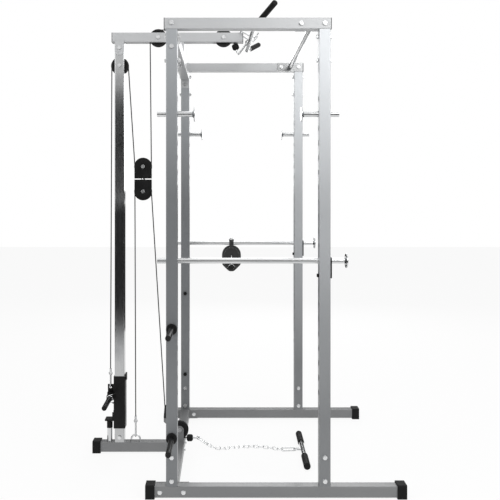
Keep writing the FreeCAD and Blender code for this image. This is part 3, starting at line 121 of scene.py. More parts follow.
# ---------------------------------------------------------------- node groups
class EffectGroup:
    """One shader node group with named sockets, shared by the finishes that use it."""

    def __init__(self, name: str, inputs: dict[str, object], outputs: dict[str, str]) -> None:
        """Make the group and its sockets.

        Args:
            name: The group's name.
            inputs: Socket name to its default, a number or a colour.
            outputs: Socket name to its socket type.
        """
        self.tree = bpy.data.node_groups.new(name, "ShaderNodeTree")
        for label, default in inputs.items():
            kind = "NodeSocketColor" if isinstance(default, tuple) else "NodeSocketFloat"
            socket = self.tree.interface.new_socket(label, in_out="INPUT", socket_type=kind)
            socket.default_value = default
        for label, kind in outputs.items():
            self.tree.interface.new_socket(label, in_out="OUTPUT", socket_type=kind)
        self.source = self.tree.nodes.new("NodeGroupInput")
        self.result = self.tree.nodes.new("NodeGroupOutput")
        self.place = self.tree.nodes.new("ShaderNodeTexCoord").outputs["Object"]

    def node(self, kind: str, **values: object) -> bpy.types.Node:
        """Add a node and set its properties by name."""
        made = self.tree.nodes.new(kind)
        for label, value in values.items():
            setattr(made, label, value)
        return made

    def link(self, start: bpy.types.NodeSocket, end: bpy.types.NodeSocket) -> None:
        """Join two sockets."""
        self.tree.links.new(start, end)

    def noise(self, vector: bpy.types.NodeSocket, scale: object, detail: float) -> bpy.types.NodeSocket:
        """Add a noise texture and return its value.

        Args:
            vector: Where the noise is looked up.
            scale: A number, or the socket that sets the scale.
            detail: The noise's detail.

        Returns:
            The socket that holds the noise value.
        """
        made = self.node("ShaderNodeTexNoise")
        self.link(vector, made.inputs["Vector"])
        made.inputs["Detail"].default_value = detail
        if isinstance(scale, float):
            made.inputs["Scale"].default_value = scale
        else:
            self.link(scale, made.inputs["Scale"])
        return made.outputs["Fac"]

    def stretched(self, amounts: Point) -> bpy.types.NodeSocket:
        """The object's coordinates scaled by a different amount along each axis."""
        mapping = self.node("ShaderNodeMapping")
        mapping.inputs["Scale"].default_value = amounts
        self.link(self.place, mapping.inputs["Vector"])
        return mapping.outputs["Vector"]

    def spread(self, value: bpy.types.NodeSocket, low: float, high: float) -> bpy.types.NodeSocket:
        """Map a band of a value onto 0 to 1."""
        made = self.node("ShaderNodeMapRange")
        made.inputs["From Min"].default_value = low
        made.inputs["From Max"].default_value = high
        self.link(value, made.inputs["Value"])
        return made.outputs["Result"]

    def blend(self, mask: bpy.types.NodeSocket, first: object, second: object) -> bpy.types.NodeSocket:
        """Mix two colours by a mask.

        Args:
            mask: 0 gives the first colour and 1 the second.
            first: A socket or a colour.
            second: A socket or a colour.

        Returns:
            The socket that holds the mixed colour.
        """
        made = self.node("ShaderNodeMix", data_type="RGBA")
        self.link(mask, made.inputs["Factor"])
        for socket, value in ((made.inputs[6], first), (made.inputs[7], second)):
            if isinstance(value, tuple):
                socket.default_value = value
            else:
                self.link(value, socket)
        return made.outputs[2]

    def maths(self, operation: str, first: bpy.types.NodeSocket, second: object) -> bpy.types.NodeSocket:
        """Combine a value with a number or another value."""
        made = self.node("ShaderNodeMath", operation=operation)
        self.link(first, made.inputs[0])
        if isinstance(second, float):
            made.inputs[1].default_value = second
        else:
            self.link(second, made.inputs[1])
        return made.outputs[0]


def coat_speckle() -> EffectGroup:
    """Powder coat: a fine metallic speckle, a slow drift in tone, an orange-peel height, and painted shade low
    on the frame graded to painted light high up.

    Returns:
        The group, with outputs Color, Roughness and Height.
    """
    group = EffectGroup(
        "coat_speckle",
        {"Painted Shade Coat": grey(0.2), "Coat": grey(0.4), "Painted Light Coat": grey(0.5), "Fleck Amount": 0.5, "Shine": 0.35},
        {"Color": "NodeSocketColor", "Roughness": "NodeSocketFloat", "Height": "NodeSocketFloat"},
    )
    fine = group.spread(group.noise(group.place, 1400.0, 2.0), 0.42, 0.68)
    drift = group.spread(group.noise(group.place, 2.2, 3.0), 0.3, 0.7)
    peel = group.noise(group.place, 260.0, 1.0)
    mask = group.maths("MULTIPLY", fine, group.source.outputs["Fleck Amount"])
    axes = group.node("ShaderNodeSeparateXYZ")
    group.link(group.place, axes.inputs[0])
    height = axes.outputs["Z"]
    # Painted shade and light by height: darkest near the floor, through the middle tone, to lightest at the top
    # of the frame.
    lower = group.blend(group.spread(height, 0.35, 1.15), group.source.outputs["Painted Shade Coat"],
                        group.source.outputs["Coat"])
    plain = group.blend(group.spread(height, 1.35, 2.0), lower, group.source.outputs["Painted Light Coat"])
    bright = group.node("ShaderNodeHueSaturation")
    bright.inputs["Value"].default_value = 1.3
    group.link(plain, bright.inputs["Color"])
    shaded = group.blend(mask, plain, bright.outputs["Color"])
    dull = group.node("ShaderNodeHueSaturation")
    dull.inputs["Saturation"].default_value = 1.0
    group.link(shaded, dull.inputs["Color"])
    group.link(group.maths("ADD", group.maths("MULTIPLY", drift, 0.10), 0.95), dull.inputs["Value"])
    rough = group.maths("ADD", group.maths("MULTIPLY", fine, 0.12), group.source.outputs["Shine"])
    group.link(dull.outputs["Color"], group.result.inputs["Color"])
    group.link(rough, group.result.inputs["Roughness"])
    group.link(group.maths("ADD", peel, group.maths("MULTIPLY", fine, 0.35)), group.result.inputs["Height"])
    return group


def handling_wear() -> EffectGroup:
    """Fine drawn scratches and slow smudges on bright metal.

    Returns:
        The group, with outputs Color, Roughness and Height.
    """
    group = EffectGroup(
        "handling_wear",
        {"Metal": grey(0.7), "Smudge": grey(0.5), "Smudge Amount": 0.35, "Shine": 0.1, "Drag": 0.15},
        {"Color": "NodeSocketColor", "Roughness": "NodeSocketFloat", "Height": "NodeSocketFloat"},
    )
    scratch = group.noise(group.stretched((420.0, 420.0, 24.0)), 1.0, 3.0)
    slow = group.spread(group.noise(group.place, 7.0, 4.0), 0.35, 0.72)
    mask = group.maths("MULTIPLY", slow, group.source.outputs["Smudge Amount"])
    colour = group.blend(mask, group.source.outputs["Metal"], group.source.outputs["Smudge"])
    drag = group.maths("MULTIPLY", scratch, group.source.outputs["Drag"])
    rough = group.maths("ADD", group.maths("ADD", drag, group.source.outputs["Shine"]),
                        group.maths("MULTIPLY", slow, 0.06))
    group.link(colour, group.result.inputs["Color"])
    group.link(rough, group.result.inputs["Roughness"])
    group.link(scratch, group.result.inputs["Height"])
    return group


def moulded_grain() -> EffectGroup:
    """Moulded rubber and plastic: a pebbled grain with pale dust in patches.

    Returns:
        The group, with outputs Color, Roughness and Height.
    """
    group = EffectGroup(
        "moulded_grain",
        {"Base": grey(0.02), "Dust": grey(0.16), "Dust Amount": 0.3, "Grain Size": 500.0, "Shine": 0.5},
        {"Color": "NodeSocketColor", "Roughness": "NodeSocketFloat", "Height": "NodeSocketFloat"},
    )
    cells = group.node("ShaderNodeTexVoronoi")
    group.link(group.place, cells.inputs["Vector"])
    group.link(group.source.outputs["Grain Size"], cells.inputs["Scale"])
    patches = group.spread(group.noise(group.place, 16.0, 5.0), 0.48, 0.8)
    mask = group.maths("MULTIPLY", patches, group.source.outputs["Dust Amount"])
    colour = group.blend(mask, group.source.outputs["Base"], group.source.outputs["Dust"])
    rough = group.maths("ADD", group.maths("MULTIPLY", patches, 0.15), group.source.outputs["Shine"])
    group.link(colour, group.result.inputs["Color"])
    group.link(rough, group.result.inputs["Roughness"])
    group.link(cells.outputs["Distance"], group.result.inputs["Height"])
    return group


def woven_cover() -> EffectGroup:
    """A woven nylon cover: two crossed sets of threads.

    Returns:
        The group, with outputs Color, Roughness and Height.
    """
    group = EffectGroup(
        "woven_cover",
        {"Thread": grey(0.03), "Shadow": grey(0.006), "Thread Count": 320.0},
        {"Color": "NodeSocketColor", "Roughness": "NodeSocketFloat", "Height": "NodeSocketFloat"},
    )
    bands = []
    for direction in ("X", "Z"):
        wave = group.node("ShaderNodeTexWave", bands_direction=direction)
        group.link(group.place, wave.inputs["Vector"])
        group.link(group.source.outputs["Thread Count"], wave.inputs["Scale"])
        wave.inputs["Distortion"].default_value = 0.4
        bands.append(wave.outputs["Fac"])
    weave = group.maths("MULTIPLY", bands[0], bands[1])
    group.link(group.blend(weave, group.source.outputs["Shadow"], group.source.outputs["Thread"]),
               group.result.inputs["Color"])
    group.link(group.maths("SUBTRACT", group.maths("MULTIPLY", weave, -0.2), -0.85),
               group.result.inputs["Roughness"])
    group.link(weave, group.result.inputs["Height"])
    return group


# ---------------------------------------------------------------- finishes
@dataclass(frozen=True)
class Finish:
    """A material made from one effect group and a Principled shader.

    Attributes:
        role: What the finish is for.
        effect: The name of the effect group.
        values: The group's inputs for this finish.
        bump: Strength of the surface relief.
        relief: Depth of the relief in metres.
        metallic: The shader's metallic value.
        coat: Weight of a clear coat.
        sheen: Weight of a soft sheen.
        specular: The shader's specular level.
    """

    role: Role
    effect: str
    values: dict[str, object]
    bump: float = 0.2
    relief: float = 0.0002
    metallic: float = 0.0
    coat: float = 0.0
    sheen: float = 0.0
    specular: float = 0.5

    def build(self, groups: dict[str, EffectGroup]) -> bpy.types.Material:
        """Make the material.

        Args:
            groups: The effect groups by name.

        Returns:
            The finished material.
        """
        made = bpy.data.materials.new(self.role.value)
        made.use_nodes = True
        tree = made.node_tree
        shader = tree.nodes["Principled BSDF"]
        effect = tree.nodes.new("ShaderNodeGroup")
        effect.node_tree = groups[self.effect].tree
        for label, value in self.values.items():
            effect.inputs[label].default_value = value
        relief = tree.nodes.new("ShaderNodeBump")
        relief.inputs["Strength"].default_value = self.bump
        relief.inputs["Distance"].default_value = self.relief
        tree.links.new(effect.outputs["Height"], relief.inputs["Height"])
        tree.links.new(relief.outputs["Normal"], shader.inputs["Normal"])
        tree.links.new(effect.outputs["Color"], shader.inputs["Base Color"])
        tree.links.new(effect.outputs["Roughness"], shader.inputs["Roughness"])
        shader.inputs["Metallic"].default_value = self.metallic
        shader.inputs["Coat Weight"].default_value = self.coat
        shader.inputs["Coat Roughness"].default_value = 0.15
        shader.inputs["Sheen Weight"].default_value = self.sheen
        shader.inputs["Specular IOR Level"].default_value = self.specular
        return made


def coat(role: Role, low: float, middle: float, high: float, tint: float) -> Finish:
    """A silver powder coat with painted shade at low, painted light at high and the middle tone between, graded
    up the frame; tint makes it cooler.
    """
    shade_and_light_tones = {label: (level * (1.0 - tint), level, level * (1.0 + tint), 1.0)
             for label, level in (("Painted Shade Coat", low), ("Coat", middle), ("Painted Light Coat", high))}
    values = {**shade_and_light_tones, "Fleck Amount": 0.55, "Shine": 0.36}
    return Finish(role, "coat_speckle", values, bump=0.18, relief=0.0002, metallic=0.35, coat=0.15)


def metal(role: Role, level: float, shine: float, smudge: float) -> Finish:
    """A bright plated metal."""
    base = (level * 0.985, level * 0.995, level, 1.0)
    dull = (level * 0.62, level * 0.64, level * 0.66, 1.0)
    values = {"Metal": base, "Smudge": dull, "Smudge Amount": smudge, "Shine": shine, "Drag": 0.12}
    return Finish(role, "handling_wear", values, bump=0.06, relief=0.0001, metallic=1.0)


def moulding(role: Role, level: float, shine: float, dust: float, grain: float, bump: float) -> Finish:
    """A black rubber, plastic or paint."""
    values = {"Base": grey(level), "Dust": grey(level * 4.0 + 0.01), "Dust Amount": dust,
              "Grain Size": grain, "Shine": shine}
    return Finish(role, "moulded_grain", values, bump=bump, relief=0.0003, specular=0.16)


FINISHES: tuple[Finish, ...] = (
    # Lit and shaded copies of one powder coat: the rear and base coats carry painted shade, the front coat
    # painted light, and the rail coat sits between.
    coat(Role.RAIL_COAT, 0.22, 0.40, 0.43, 0.015),
    coat(Role.REAR_COAT_SHADED, 0.18, 0.19, 0.33, 0.04),
    coat(Role.FRONT_COAT_LIT, 0.19, 0.42, 0.56, 0.03),
    coat(Role.BASE_COAT_SHADED, 0.19, 0.22, 0.3, 0.015),
    metal(Role.CHROME, 0.66, 0.08, 0.3),
    # Guide post chrome at a lower level than the chrome: the darkness is painted dark reflection, and its
    # smudges are real smudges.
    metal(Role.POST_CHROME_DARKENED, 0.5, 0.06, 0.5),
    metal(Role.SATIN_CHROME, 0.4, 0.14, 0.4),
    metal(Role.ZINC, 0.74, 0.18, 0.2),
    moulding(Role.BLACK_PAINT, 0.007, 0.36, 0.12, 900.0, 0.12),
    moulding(Role.RUBBER, 0.006, 0.6, 0.15, 620.0, 0.4),
    moulding(Role.PLASTIC, 0.010, 0.42, 0.2, 800.0, 0.2),
    moulding(Role.CABLE, 0.006, 0.3, 0.1, 1500.0, 0.08),
    Finish(Role.PAD, "woven_cover", {"Thread": grey(0.035), "Shadow": grey(0.006)}, bump=0.5,
           relief=0.0004, sheen=0.3),
)

NODE_ROLES: dict[Role, tuple[str, ...]] = {
    Role.RAIL_COAT: ("top_rail_near", "top_rail_far", "tower_boom", "rear_top_beam", "boom_saddle"),
    Role.REAR_COAT_SHADED: ("rear_upright_near", "rear_upright_far"),
    Role.FRONT_COAT_LIT: ("front_upright_near", "front_upright_far"),
    Role.BASE_COAT_SHADED: ("base_rail_near", "base_rail_far", "rear_base_beam", "tower_base_beam",
                     "low_pulley_bracket"),
    Role.CHROME: ("stop_post", "row_bar", "safety_bar_near", "safety_bar_far", "rear_bar_hook_near",
                  "rear_bar_hook_far", "front_bar_hook_near", "front_bar_hook_far"),
    Role.POST_CHROME_DARKENED: ("guide_post",),
    Role.SATIN_CHROME: ("pull_up_bar", "lat_bar"),
    Role.ZINC: ("frame_bolts", "block_axles", "cable_anchor", "carriage_hook", "lat_hook", "row_links",
                "tube_joiners", "bar_clip", "spring_collar_near", "spring_collar_far"),
    Role.BLACK_PAINT: ("carriage_sleeve", "carriage_peg_bar", "plate_posts", "safety_lock_near",
                       "safety_lock_far", "block_housings"),
    Role.RUBBER: ("foot_caps", "rubber_buffers", "lat_rubber", "row_rubber"),
    Role.PLASTIC: ("end_plugs", "carriage_bushes", "tower_pulley", "boom_rear_pulley", "boom_front_pulley",
                   "block_upper_pulley", "block_lower_pulley", "low_pulley"),
    Role.CABLE: ("cable_fixed", "cable_block_wraps", "cable_carriage_run", "cable_upper_runs",
                 "cable_lower_runs", "cable_lat_run"),
    Role.PAD: ("hanging_pad",),
}


@dataclass
class Workshop:
    """The loaded frame and the finished materials that every sub-assembly uses.

    Attributes:
        materials: Each finish's material.
        pins: Axle places of the hinges, by joint name.
    """

    frame: dict[str, object]
    materials: dict[Role, bpy.types.Material] = field(default_factory=dict)
    pins: dict[str, Vector] = field(default_factory=dict)

    def prepare(self) -> None:
        """Build the effect groups and finishes, and note where the axles are."""
        groups = {group.tree.name: group for group in
                  (coat_speckle(), handling_wear(), moulded_grain(), woven_cover())}
        for finish in FINISHES:
            self.materials[finish.role] = finish.build(groups)
        for joint in self.frame["joints"]:
            if "pos_m" in joint:
                self.pins[joint["name"]] = Vector(joint["pos_m"])

    def dress_nodes(self) -> None:
        """Give every node of the frame its finish."""
        for role, names in NODE_ROLES.items():
            for name in names:
                node = self.frame["nodes"].get(name)
                if node is None:
                    LOG.info("no node %s in this frame", name)
                    continue
                node.data.materials.clear()
                node.data.materials.append(self.materials[role])

    def piece(self, name: str, role: Role, points: list[Point], faces: list[tuple[int, ...]],
              smooth: bool = True) -> bpy.types.Object:
        """Make a mesh piece with a finish.

        Args:
            name: The piece's name.
            role: Its finish.
            points: Its vertices in metres.
            faces: Its faces.
            smooth: Whether its faces are shaded smooth.

        Returns:
            The new object, in the scene.
        """
        mesh = bpy.data.meshes.new(name)
        mesh.from_pydata(points, [], faces)
        mesh.validate()
        mesh.materials.append(self.materials[role])
        if smooth:
            mesh.shade_smooth()
        made = bpy.data.objects.new(name, mesh)
        bpy.context.scene.collection.objects.link(made)
        LOG.info("piece %s: %d faces", name, len(faces))
        return made

    def tube(self, name: str, role: Role, path: list[Vector], radius: float,
             sides: int = 14) -> bpy.types.Object:
        """Make a closed tube along a path.

        Args:
            name: The piece's name.
            role: Its finish.
            path: The centre line.
            radius: The tube's radius.
            sides: Corners of its section.

        Returns:
            The new object.
        """
        points, faces = sweep(path, radius, sides)
        return self.piece(name, role, points, faces)


def sweep(path: list[Vector], radius: float, sides: int) -> tuple[list[Point], list[tuple[int, ...]]]:
    """Sweep a round section along a path, with flat ends.

    Args:
        path: The centre line.
        radius: The section's radius.
        sides: Corners of the section.

    Returns:
        The vertices and faces.
    """
    points: list[Point] = []
    faces: list[tuple[int, ...]] = []
    side = (path[1] - path[0]).orthogonal().normalized()
    for k, place in enumerate(path):
        ahead = path[min(k + 1, len(path) - 1)] - path[max(k - 1, 0)]
        ahead.normalize()
        side = (side - ahead * side.dot(ahead)).normalized()
        across = ahead.cross(side)
        for j in range(sides):
            turn = 2.0 * math.pi * j / sides
            points.append(tuple(place + (side * math.cos(turn) + across * math.sin(turn)) * radius))
    for k in range(len(path) - 1):
        for j in range(sides):
            after = (j + 1) % sides
            faces.append((k * sides + j, k * sides + after, (k + 1) * sides + after, (k + 1) * sides + j))
    last = (len(path) - 1) * sides
    faces.append(tuple(reversed(range(sides))))
    faces.append(tuple(last + j for j in range(sides)))
    return points, faces


def straight(start: Vector, end: Vector, steps: int) -> list[Vector]:
    """Evenly spaced places on a straight line."""
    return [start.lerp(end, k / steps) for k in range(steps + 1)]


def lathe(profile: list[tuple[float, float]], centre: Vector, axis: Vector,
          sides: int = 32) -> tuple[list[Point], list[tuple[int, ...]]]:
    """Turn a closed profile of (radius, height) pairs about an axis.

    Args:
        profile: The closed outline.
        centre: The origin of the heights.
        axis: The direction of the heights.
        sides: Steps round the axis.

    Returns:
        The vertices and faces.
    """
    axis = axis.normalized()
    side = axis.orthogonal().normalized()
    across = axis.cross(side)
    points: list[Point] = []
    faces: list[tuple[int, ...]] = []
    count = len(profile)
    for k in range(sides):
        turn = 2.0 * math.pi * k / sides
        out = side * math.cos(turn) + across * math.sin(turn)
        points += [tuple(centre + out * radius + axis * height) for radius, height in profile]
    for k in range(sides):
        here, there = k * count, ((k + 1) % sides) * count
        for j in range(count):
            after = (j + 1) % count
            faces.append((here + j, here + after, there + after, there + j))
    return points, faces


# ---------------------------------------------------------------- cables
@dataclass
class CableRuns:
    """The straight runs of cable that lengthen or shorten as the machine moves.

    Attributes:
        shop: The frame and finishes.
        steps: How finely a run is divided along its length.
        guide_radius: Radius of the cable guide's base.
        guide_floor: Height of the cable guide's base.
        lat_hold: Share of the lat cable that leaves the front pulley without stretching. Not used.
    """

    shop: Workshop
    steps: int = 60
    guide_radius: float = 0.0105
    guide_floor: float = 0.178
    lat_hold: float = 0.3

    def tangent(self, start: Vector, start_side: float, end: Vector,
                end_side: float) -> tuple[Vector, Vector]:
        """Ends of the straight run between two circles in the X-Z plane.

        Args:
            start: Centre of the first circle, or a point when its side is 0.
            start_side: 1 when the cable passes on the left of the travel, -1 on the right.
            end: Centre of the second circle, or a point.
            end_side: The side at the second circle.

        Returns:
            The two ends of the run.
        """
        dx, dz = end.x - start.x, end.z - start.z
        first, second = start_side * CABLE_RING, end_side * CABLE_RING
        turn = math.atan2(dz, dx) + math.acos((first - second) / math.hypot(dx, dz))
        away = Vector((math.cos(turn), 0.0, math.sin(turn)))
        return start + away * first, end + away * second

    def lift_run(self) -> None:
        """The run from the carriage up to the tower pulley, which shortens as the carriage rises."""
        low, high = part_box("cable_carriage_run")
        pin = self.shop.pins["tower_pulley_spin"]
        foot = Vector((low.x + CABLE_RADIUS, 0.0, low.z))
        hook_low, hook_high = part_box("carriage_hook")
        foot.x = (hook_low.x + hook_high.x) / 2.0
        bottom, top = self.tangent(foot, 0.0, pin, 1.0)
        made = self.shop.tube("cable_lift_run", Role.CABLE, straight(bottom, top, self.steps), CABLE_RADIUS)
        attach(made, "frame")
        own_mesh(made)
        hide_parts("cable_carriage_run")

    def blended(self, name: str, ends: tuple[Vector, Vector],
                node: str | None) -> None:
        """A run between two bodies.

        Args:
            name: The piece's name.
            ends: Its two ends, in the order of the bodies.
            node: The node that it stands for, if any.
        """
        made = self.shop.tube(name, Role.CABLE, straight(*ends, self.steps), CABLE_RADIUS)
        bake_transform(made)
        if node:
            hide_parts(node)

    def build(self) -> None:
        """Make every moving run."""
        pins = self.shop.pins
        tower, rear = pins["tower_pulley_spin"], pins["boom_rear_pulley_spin"]
        front, low = pins["boom_front_pulley_spin"], pins["low_pulley_spin"]
        upper, lower = pins["block_upper_pulley_spin"], pins["block_lower_pulley_spin"]
        self.lift_run()
        down = self.tangent(tower, 1.0, upper, -1.0)
        rise = self.tangent(upper, -1.0, rear, 1.0)
        self.blended("cable_block_feed", down, "cable_upper_runs")
        self.blended("cable_block_return", (rise[1], rise[0]), None)
        self.lower_runs(lower, low)
        self.lat_run(front)
        self.row_run(low)

    def lower_runs(self, lower: Vector, low: Vector) -> None:
        """The anchored run and the run down to the cable guide.

        Args:
            lower: Axle of the block's lower pulley.
            low: Axle of the low pulley.
        """
        anchor_low, anchor_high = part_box("cable_anchor")
        run_low, run_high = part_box("cable_lower_runs")
        anchor = Vector(((anchor_low.x + anchor_high.x) / 2.0, 0.0, anchor_high.z))
        self.blended("cable_anchor_run", self.tangent(anchor, 0.0, lower, 1.0),
                     "cable_lower_runs")
        guide_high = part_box("rubber_buffers")[1]
        guide = Vector((guide_high.x - self.guide_radius, 0.0, self.guide_floor))
        top, bottom = self.tangent(lower, 1.0, guide, 0.0)
        foot = bottom.lerp(top, max(0.0, (run_low.z - bottom.z) / (top.z - bottom.z)))
        self.blended("cable_guide_run", (foot, top), None)

    def lat_run(self, front: Vector) -> None:
        """The run from the boom's front pulley down through the lat ball stop.

        Args:
            front: Axle of the front pulley.
        """
        low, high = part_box("cable_lat_run")
        slope = self.tangent(front, 1.0, Vector((high.x - CABLE_RADIUS, 0.0, low.z)), 0.0)
        ahead = (slope[1] - slope[0]).normalized()
        inside = slope[1] + ahead * 0.03
        self.blended("cable_lat_feed", (slope[0], inside), "cable_lat_run")

    def row_run(self, low: Vector) -> None:
        """The cable inside the row ball stop, which pays out as the row bar is pulled."""
        height = low.z - CABLE_RING
        ball_start = low.x + CABLE_RING + 0.010 - 0.0165
        start = Vector((ball_start + 0.0002, 0.0, height))
        end = Vector((ball_start + 0.0325, 0.0, height))
        self.blended("cable_row_feed", (start, end), None)


# ---------------------------------------------------------------- collars
@dataclass
class SpringCollars:
    """Wire collars on the loading bar, each a coil with two gripped handles.

    Attributes:
        shop: The frame and finishes.
        wire: Wire radius.
        ring: Mean radius of the coil.
        turns: Turns of the coil.
        lean: Angle of the handles in degrees.
        handle: Length of a handle.
        grip: Length of its grip.
    """

    shop: Workshop
    wire: float = 0.0018
    ring: float = 0.0148
    turns: float = 3.0
    lean: float = 14.0
    handle: float = 0.044
    grip: float = 0.024

    def build(self) -> None:
        """Make both collars in place of their plain solids."""
        for name, side in (("near", -1.0), ("far", 1.0)):
            node = f"spring_collar_{name}"
            low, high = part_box(node)
            centre = Vector((low.x + self.ring + self.wire + 0.0002, 0.0, (low.z + high.z) / 2.0))
            start = (high.y if side < 0 else low.y) + side * 0.002
            span = high.y - low.y - 0.004
            made = self.coil(f"collar_wire_{name}", centre, start, side * span)
            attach(made, f"collar_{name}")
            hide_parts(node)
            for rise, share in ((1.0, 0.0), (-1.0, 1.0)):
                end = self.handle_line(centre, start + side * span * share, rise)
                grip = self.shop.tube(f"collar_grip_{name}_{'up' if rise > 0 else 'down'}", Role.RUBBER,
                                      straight(end[1] - (end[1] - end[0]).normalized() * self.grip, end[1], 6),
                                      2.0 * self.wire)
                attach(grip, f"collar_{name}")

    def handle_line(self, centre: Vector, y: float, rise: float) -> tuple[Vector, Vector]:
        """Both ends of a handle that leaves the coil along its tangent.

        Args:
            centre: Centre of the coil.
            y: Where along the bar the handle is.
            rise: 1 for the upper handle, -1 for the lower.

        Returns:
            The start and the tip.
        """
        lean = math.radians(self.lean)
        middle = Vector((centre.x, y, centre.z))
        start = middle + Vector((-math.sin(lean), 0.0, rise * math.cos(lean))) * self.ring
        return start, start + Vector((math.cos(lean), 0.0, rise * math.sin(lean))) * self.handle

    def coil(self, name: str, centre: Vector, start: float, span: float) -> bpy.types.Object:
        """The bent wire: one handle, the coil and the other handle.

        Args:
            name: The piece's name.
            centre: Centre of the coil.
            start: Where the coil starts along the bar.
            span: Its signed length along the bar.

        Returns:
            The wire.
        """
        lean = math.radians(self.lean)
        first = math.pi / 2.0 + lean
        upper = self.handle_line(centre, start, 1.0)
        lower = self.handle_line(centre, start + span, -1.0)
        path = straight(upper[1], upper[0], 8)[:-1]
        steps = 90
        for k in range(steps + 1):
            share = k / steps
            turn = first + (2.0 * math.pi * (self.turns - 1.0) + 2.0 * (math.pi - first)) * share
            path.append(Vector((centre.x + self.ring * math.cos(turn), start + span * share,
                                centre.z + self.ring * math.sin(turn))))
        path += straight(lower[0], lower[1], 8)[1:]
        return self.shop.tube(name, Role.CHROME, path, self.wire, 10)


# ---------------------------------------------------------------- trim
@dataclass
class CageTrim:
    """Small pieces of detail on the cage and tower.

    Attributes:
        shop: The frame and finishes.
        bead: Radius of a weld bead.
    """

    shop: Workshop
    bead: float = 0.0022

    def weld_loop(self, name: str, corners: list[Point]) -> None:
        """A rippled weld bead round a closed line.

        Args:
            name: The piece's name.
            corners: The line's corners in metres.
        """
        points: list[Point] = []
        faces: list[tuple[int, ...]] = []
        places: list[Vector] = []
        for k, corner in enumerate(corners):
            after = Vector(corners[(k + 1) % len(corners)])
            here = Vector(corner)
            steps = max(2, int((after - here).length / 0.0022))
            places += [here.lerp(after, j / steps) for j in range(steps)]
        count, sides = len(places), 8
        for k, place in enumerate(places):
            ahead = (places[(k + 1) % count] - places[k - 1]).normalized()
            side = ahead.orthogonal().normalized()
            across = ahead.cross(side)
            radius = self.bead * (0.86 + 0.14 * math.sin(k * 1.9))
            for j in range(sides):
                turn = 2.0 * math.pi * j / sides
                points.append(tuple(place + (side * math.cos(turn) + across * math.sin(turn)) * radius))
        for k in range(count):
            here, there = k * sides, ((k + 1) % count) * sides
            for j in range(sides):
                after = (j + 1) % sides
                faces.append((here + j, here + after, there + after, there + j))
        made = self.shop.piece(name, Role.RAIL_COAT, points, faces)
        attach(made, "frame")

    def welds(self) -> None:
        """Beads where the beams and the boom stub meet their plates."""
        for node, plate in (("rear_top_beam", 0.005), ("rear_base_beam", 0.005)):
            low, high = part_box(node)
            middle = (low.z + high.z) / 2.0
            centre = (low.x + high.x) / 2.0
            half = 0.0252
            for name, y in (("near", low.y + plate + 0.0008), ("far", high.y - plate - 0.0008)):
                corners = [(centre - half, y, middle - half), (centre + half, y, middle - half),
                           (centre + half, y, middle + half), (centre - half, y, middle + half)]
                if node == "rear_top_beam":
                    corners = [(centre - 0.0235, y, middle + half), (centre + 0.0235, y, middle + half),
                               (centre + 0.0235, y, middle - half), (centre - 0.0235, y, middle - half)]
                self.weld_loop(f"weld_{node}_{name}", corners)
        low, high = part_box("boom_saddle")
        x, half = (low.x + high.x) / 2.0, 0.0235
        z = low.z + 0.0048
        self.weld_loop("weld_boom_stub", [(x - half, -half - 0.0015, z), (x + half, -half - 0.0015, z),
                                          (x + half, half + 0.0015, z), (x - half, half + 0.0015, z)])

    def bearings(self) -> None:
        """Bright bearing rings on both faces of every pulley."""
        for joint, centre in self.shop.pins.items():
            body = joint.removesuffix("_spin")
            low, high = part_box(body)
            for name, y, out in (("near", low.y, -1.0), ("far", high.y, 1.0)):
                profile = [(0.0105, -0.0004), (0.0105, 0.0002), (0.0148, 0.0002), (0.0154, -0.0004)]
                points, faces = lathe(profile, Vector((centre.x, y, centre.z)), Vector((0.0, out, 0.0)))
                made = self.shop.piece(f"bearing_{body}_{name}", Role.ZINC, points, faces)
                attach(made, body)

    def build(self) -> None:
        """Make all the trim."""
        self.welds()
        self.bearings()


